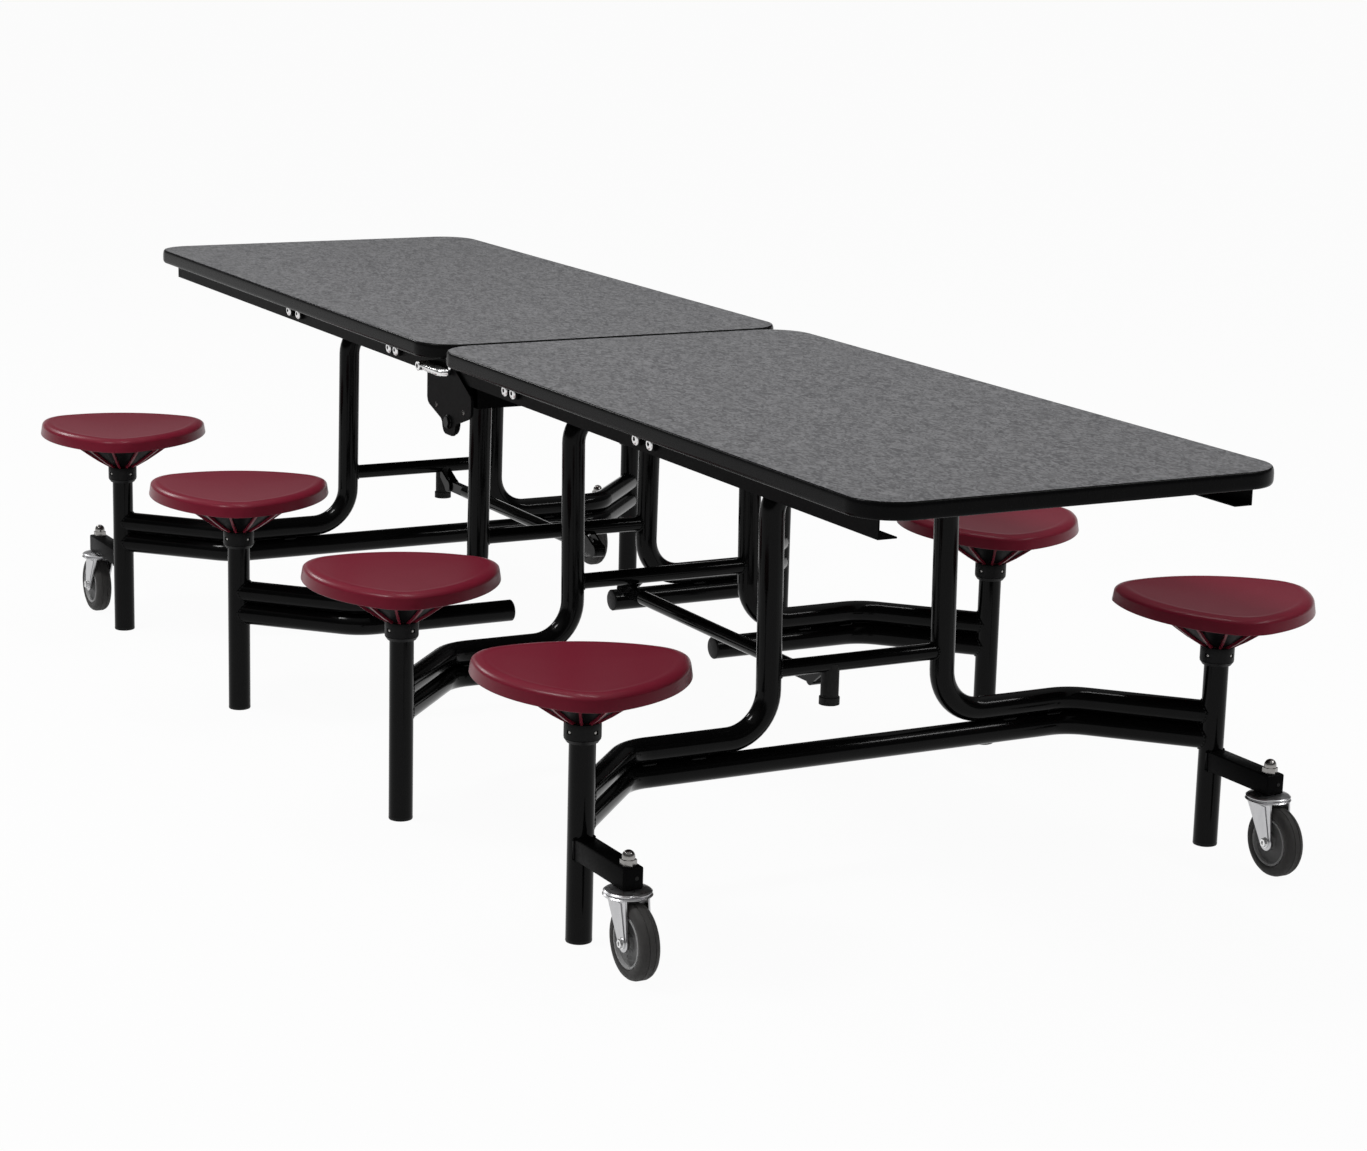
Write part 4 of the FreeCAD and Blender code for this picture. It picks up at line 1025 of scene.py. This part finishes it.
def add_hinge_plates():
    """Outer hinge plates with eased edges and two small hole rims, each round a black disc of painted shade."""
    hinge = joint_point("far_top")
    outline = outer_plate_outline(hinge)
    shape = bmesh.new()
    for side in SIDES.values():
        middle = side * (RAIL_FACE + FIT_GAP + HINGE_PLATE / 2)
        prism(shape, outline, Matrix.Translation((0, middle, 0)) @ UPRIGHT, HINGE_PLATE, PLATE_EDGE)
        for x, rise in PLATE_HOLES:
            face = Vector((x, middle + side * HINGE_PLATE / 2, hinge.z + rise))
            # Each hole's inside is a black disc of painted shade
            add_hole(shape, facing(face, ACROSS * side), PLATE_HOLE_RIM, PLATE_HOLE_SHADE_DISC, steps=28,
                     rim_material=2)
    piece = add_piece("far_hinge_plates_pressing", shape, [SATIN, BLACK_RUBBER, DARK_STEEL], "far_top",
                      crease=20)
    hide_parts("far_hinge_plates")


def add_hinge_pins():
    """Black flanged hex bolts through the hinge plates, with a nut inside."""
    hinge = joint_point("far_top")
    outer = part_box("hinge_pins")[1].y
    inner = RAIL_FACE - RAIL_WALL - FIT_GAP - HINGE_PLATE
    flange = HINGE_HEAD_DIAMETER / 2
    flange_profile = [(flange, 0), (flange, HINGE_FLANGE_SIDE),
                      (flange - HINGE_FLANGE_EDGE, HINGE_FLANGE_HEIGHT)]
    head_height = HINGE_FLANGE_HEIGHT + HINGE_HEX_HEIGHT
    pin = HINGE_PIN_DIAMETER / 2
    shape = bmesh.new()
    for side in SIDES.values():
        for end, way in ((outer, side), (inner - head_height, -side)):
            out = ACROSS * way
            base = Vector((hinge.x, side * end, hinge.z)) - out * head_height
            lathe(shape, flange_profile, facing(base, out), steps=40, ends="capped")
            head = facing(base + out * (HINGE_FLANGE_HEIGHT + HINGE_HEX_HEIGHT / 2), out)
            prism(shape, hexagon(HINGE_HEX_WIDTH), head, HINGE_HEX_HEIGHT, PLATE_EDGE)
        start = Vector((hinge.x, side * (inner - HINGE_FLANGE_HEIGHT), hinge.z))
        lathe(shape, [(pin, 0), (pin, outer - inner)], facing(start, ACROSS * side), steps=40, ends="capped")
    piece = add_piece("hinge_pin_bolts", shape, [POWDER], "near_top", crease=20)
    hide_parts("hinge_pins")


# Release lever

def add_release_lever():
    """Chrome paddle with a bowed front and full round edges, on its boss."""
    low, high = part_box("release_lever")
    place = joint_point("release_lever")
    inner = -(RAIL_FACE + HINGE_PLATE + LEVER_GAP)
    front = low.y
    tip = high.x
    heel = place.x - LEVER_HEEL
    length = tip - place.x
    depth = front - inner
    corners = [(heel + length * LEVER_FRONT_START, front), (tip - length * LEVER_FRONT_END, front),
               (tip, inner + depth * LEVER_TIP_SHARE), (tip, inner), (heel, inner),
               (heel, inner + depth * LEVER_HEEL_SHARE)]
    outline = rounded(corners, LEVER_ROUNDS)
    shape = bmesh.new()
    pillow(shape, outline, Matrix.Translation((0, 0, place.z)), LEVER_THICKNESS, LEVER_ROUND)
    boss = facing(Vector((place.x, -RAIL_FACE - LEVER_GAP, place.z)), -ACROSS)
    stand = -front - RAIL_FACE - LEVER_GAP
    outer = LEVER_BOSS_DIAMETER / 2
    bore = LEVER_PIN_DIAMETER / 2 + FIT_GAP
    lathe(shape, [(bore, 0), (outer, 0), (outer, stand - LEVER_BOSS_EDGE), (outer - LEVER_BOSS_EDGE, stand),
                  (bore, stand)], boss, steps=40, ends="joined")
    piece = add_piece("release_lever_paddle", shape, [CHROME], "release_lever", crease=25)
    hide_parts("release_lever")


# Floor, light and camera

def camera_ray_white(tree):
    """Factor that is one for what the camera sees, straight on or in a reflection."""
    path = tree.nodes.new("ShaderNodeLightPath")
    total = path.outputs["Is Camera Ray"]
    for name in ("Is Glossy Ray", "Is Transmission Ray"):
        either = tree.nodes.new("ShaderNodeMath")
        either.operation = "MAXIMUM"
        tree.links.new(total, either.inputs[0])
        tree.links.new(path.outputs[name], either.inputs[1])
        total = either.outputs["Value"]
    return total


def floor_material():
    """Grey in the light that it sends on, and nearly white where the camera sees it."""
    material = bpy.data.materials.new("pale_floor")
    material.use_nodes = True
    tree = material.node_tree
    tree.nodes.clear()
    output = tree.nodes.new("ShaderNodeOutputMaterial")
    diffuse = tree.nodes.new("ShaderNodeBsdfDiffuse")
    diffuse.inputs["Color"].default_value = (FLOOR_GREY, FLOOR_GREY, FLOOR_GREY, 1)
    glow = tree.nodes.new("ShaderNodeEmission")
    glow.inputs["Color"].default_value = (1, 1, 1, 1)
    mix = tree.nodes.new("ShaderNodeMixShader")
    share = tree.nodes.new("ShaderNodeMath")
    share.operation = "MULTIPLY"
    share.inputs[1].default_value = FLOOR_WHITE
    tree.links.new(camera_ray_white(tree), share.inputs[0])
    tree.links.new(share.outputs["Value"], mix.inputs["Fac"])
    tree.links.new(diffuse.outputs["BSDF"], mix.inputs[1])
    tree.links.new(glow.outputs["Emission"], mix.inputs[2])
    tree.links.new(mix.outputs["Shader"], output.inputs["Surface"])
    return material


def add_floor():
    """Pale floor that keeps a soft shadow."""
    shape = bmesh.new()
    bmesh.ops.create_grid(shape, x_segments=1, y_segments=1, size=FLOOR_SIZE)
    mesh = bpy.data.meshes.new("floor")
    shape.to_mesh(mesh)
    shape.free()
    mesh.materials.append(floor_material())
    floor = bpy.data.objects.new("floor", mesh)
    scene.collection.objects.link(floor)


def add_world():
    """Studio surroundings, white at the horizon, dim above it and soft overhead."""
    world = bpy.data.worlds.new("studio")
    world.use_nodes = True
    tree = world.node_tree
    place = tree.nodes.new("ShaderNodeTexCoord")
    split = tree.nodes.new("ShaderNodeSeparateXYZ")
    ramp = tree.nodes.new("ShaderNodeValToRGB")
    stops = ramp.color_ramp.elements
    for height, _ in SKY[1:-1]:
        stops.new(height)
    for stop, (height, level) in zip(stops, SKY):
        stop.position = height
        stop.color = (level, level, level, 1)
    tree.links.new(place.outputs["Generated"], split.inputs["Vector"])
    tree.links.new(split.outputs["Z"], ramp.inputs["Fac"])
    tree.links.new(ramp.outputs["Color"], tree.nodes["Background"].inputs["Color"])
    scene.world = world


def add_lamp(name, place, target, size, power):
    """Rectangular area lamp aimed at a point."""
    data = bpy.data.lights.new(name, "AREA")
    data.shape = "RECTANGLE"
    data.size, data.size_y = size
    data.energy = power
    lamp = bpy.data.objects.new(name, data)
    scene.collection.objects.link(lamp)
    lamp.location = place
    lamp.rotation_euler = (Vector(target) - Vector(place)).to_track_quat("-Z", "Y").to_euler()


def add_camera():
    """Camera at the photograph's viewing angle."""
    data = bpy.data.cameras.new("camera")
    data.sensor_fit = "HORIZONTAL"
    data.sensor_width = SENSOR_WIDTH
    data.lens = FOCAL_PIXELS / PHOTO_WIDTH * SENSOR_WIDTH
    data.clip_end = 4 * FLOOR_SIZE
    a, e, r = CAMERA_AZIMUTH, CAMERA_ELEVATION, CAMERA_ROLL
    back = Vector((math.sin(a) * math.cos(e), -math.cos(a) * math.cos(e), math.sin(e)))
    right = Vector((math.cos(a), math.sin(a), 0))
    up = back.cross(right)
    axes = [right * math.cos(r) + up * math.sin(r), up * math.cos(r) - right * math.sin(r), back]
    camera = bpy.data.objects.new("camera", data)
    scene.collection.objects.link(camera)
    camera.matrix_world = Matrix.Translation(CAMERA_PLACE) @ Matrix(axes).transposed().to_4x4()
    scene.camera = camera


# Finish of the CAD nodes

def dress_nodes():
    """Give every CAD node the material of its record slot, kingpins dark steel and flat steel satin."""
    finish = {"black_frame": POWDER, "black_plastic": BAND, "black_rubber": BLACK_RUBBER,
              "bright_metal": ZINC, "board": BOARD, "laminate": LAMINATE, "seat": SEAT, "zinc": ZINC,
              "grey_rubber": TYRE}
    slots = {row["node"]: row["material_slot"] for row in frame["record"]["subparts"]}
    for name, node in frame["nodes"].items():
        material = finish[slots[name]]
        if name.endswith("kingpins"):
            material = DARK_STEEL
        elif name.endswith(("underframe", "hinge_plates")):
            material = SATIN
        node.data.materials.clear()
        node.data.materials.append(material)


dress_nodes()
for half in HALVES:
    for side in SIDES:
        for kind in KINDS:
            add_seat(f"{half}_{kind}_{side}_seat")
        add_wheel(f"{half}_{side}_caster_wheel")
        add_fork(f"{half}_{side}_caster_fork")
    for kind in KINDS:
        add_post_fittings(half, kind)
        add_frame_welds(half, kind)
    add_tube_plugs(half)
    add_caster_arms(half)
    add_edge_band(half)
    add_rail_bolts(half)
add_hinge_plates()
add_hinge_pins()
add_release_lever()

add_floor()
add_world()
for name, lamp in LAMPS.items():
    add_lamp(name, *lamp)
add_camera()
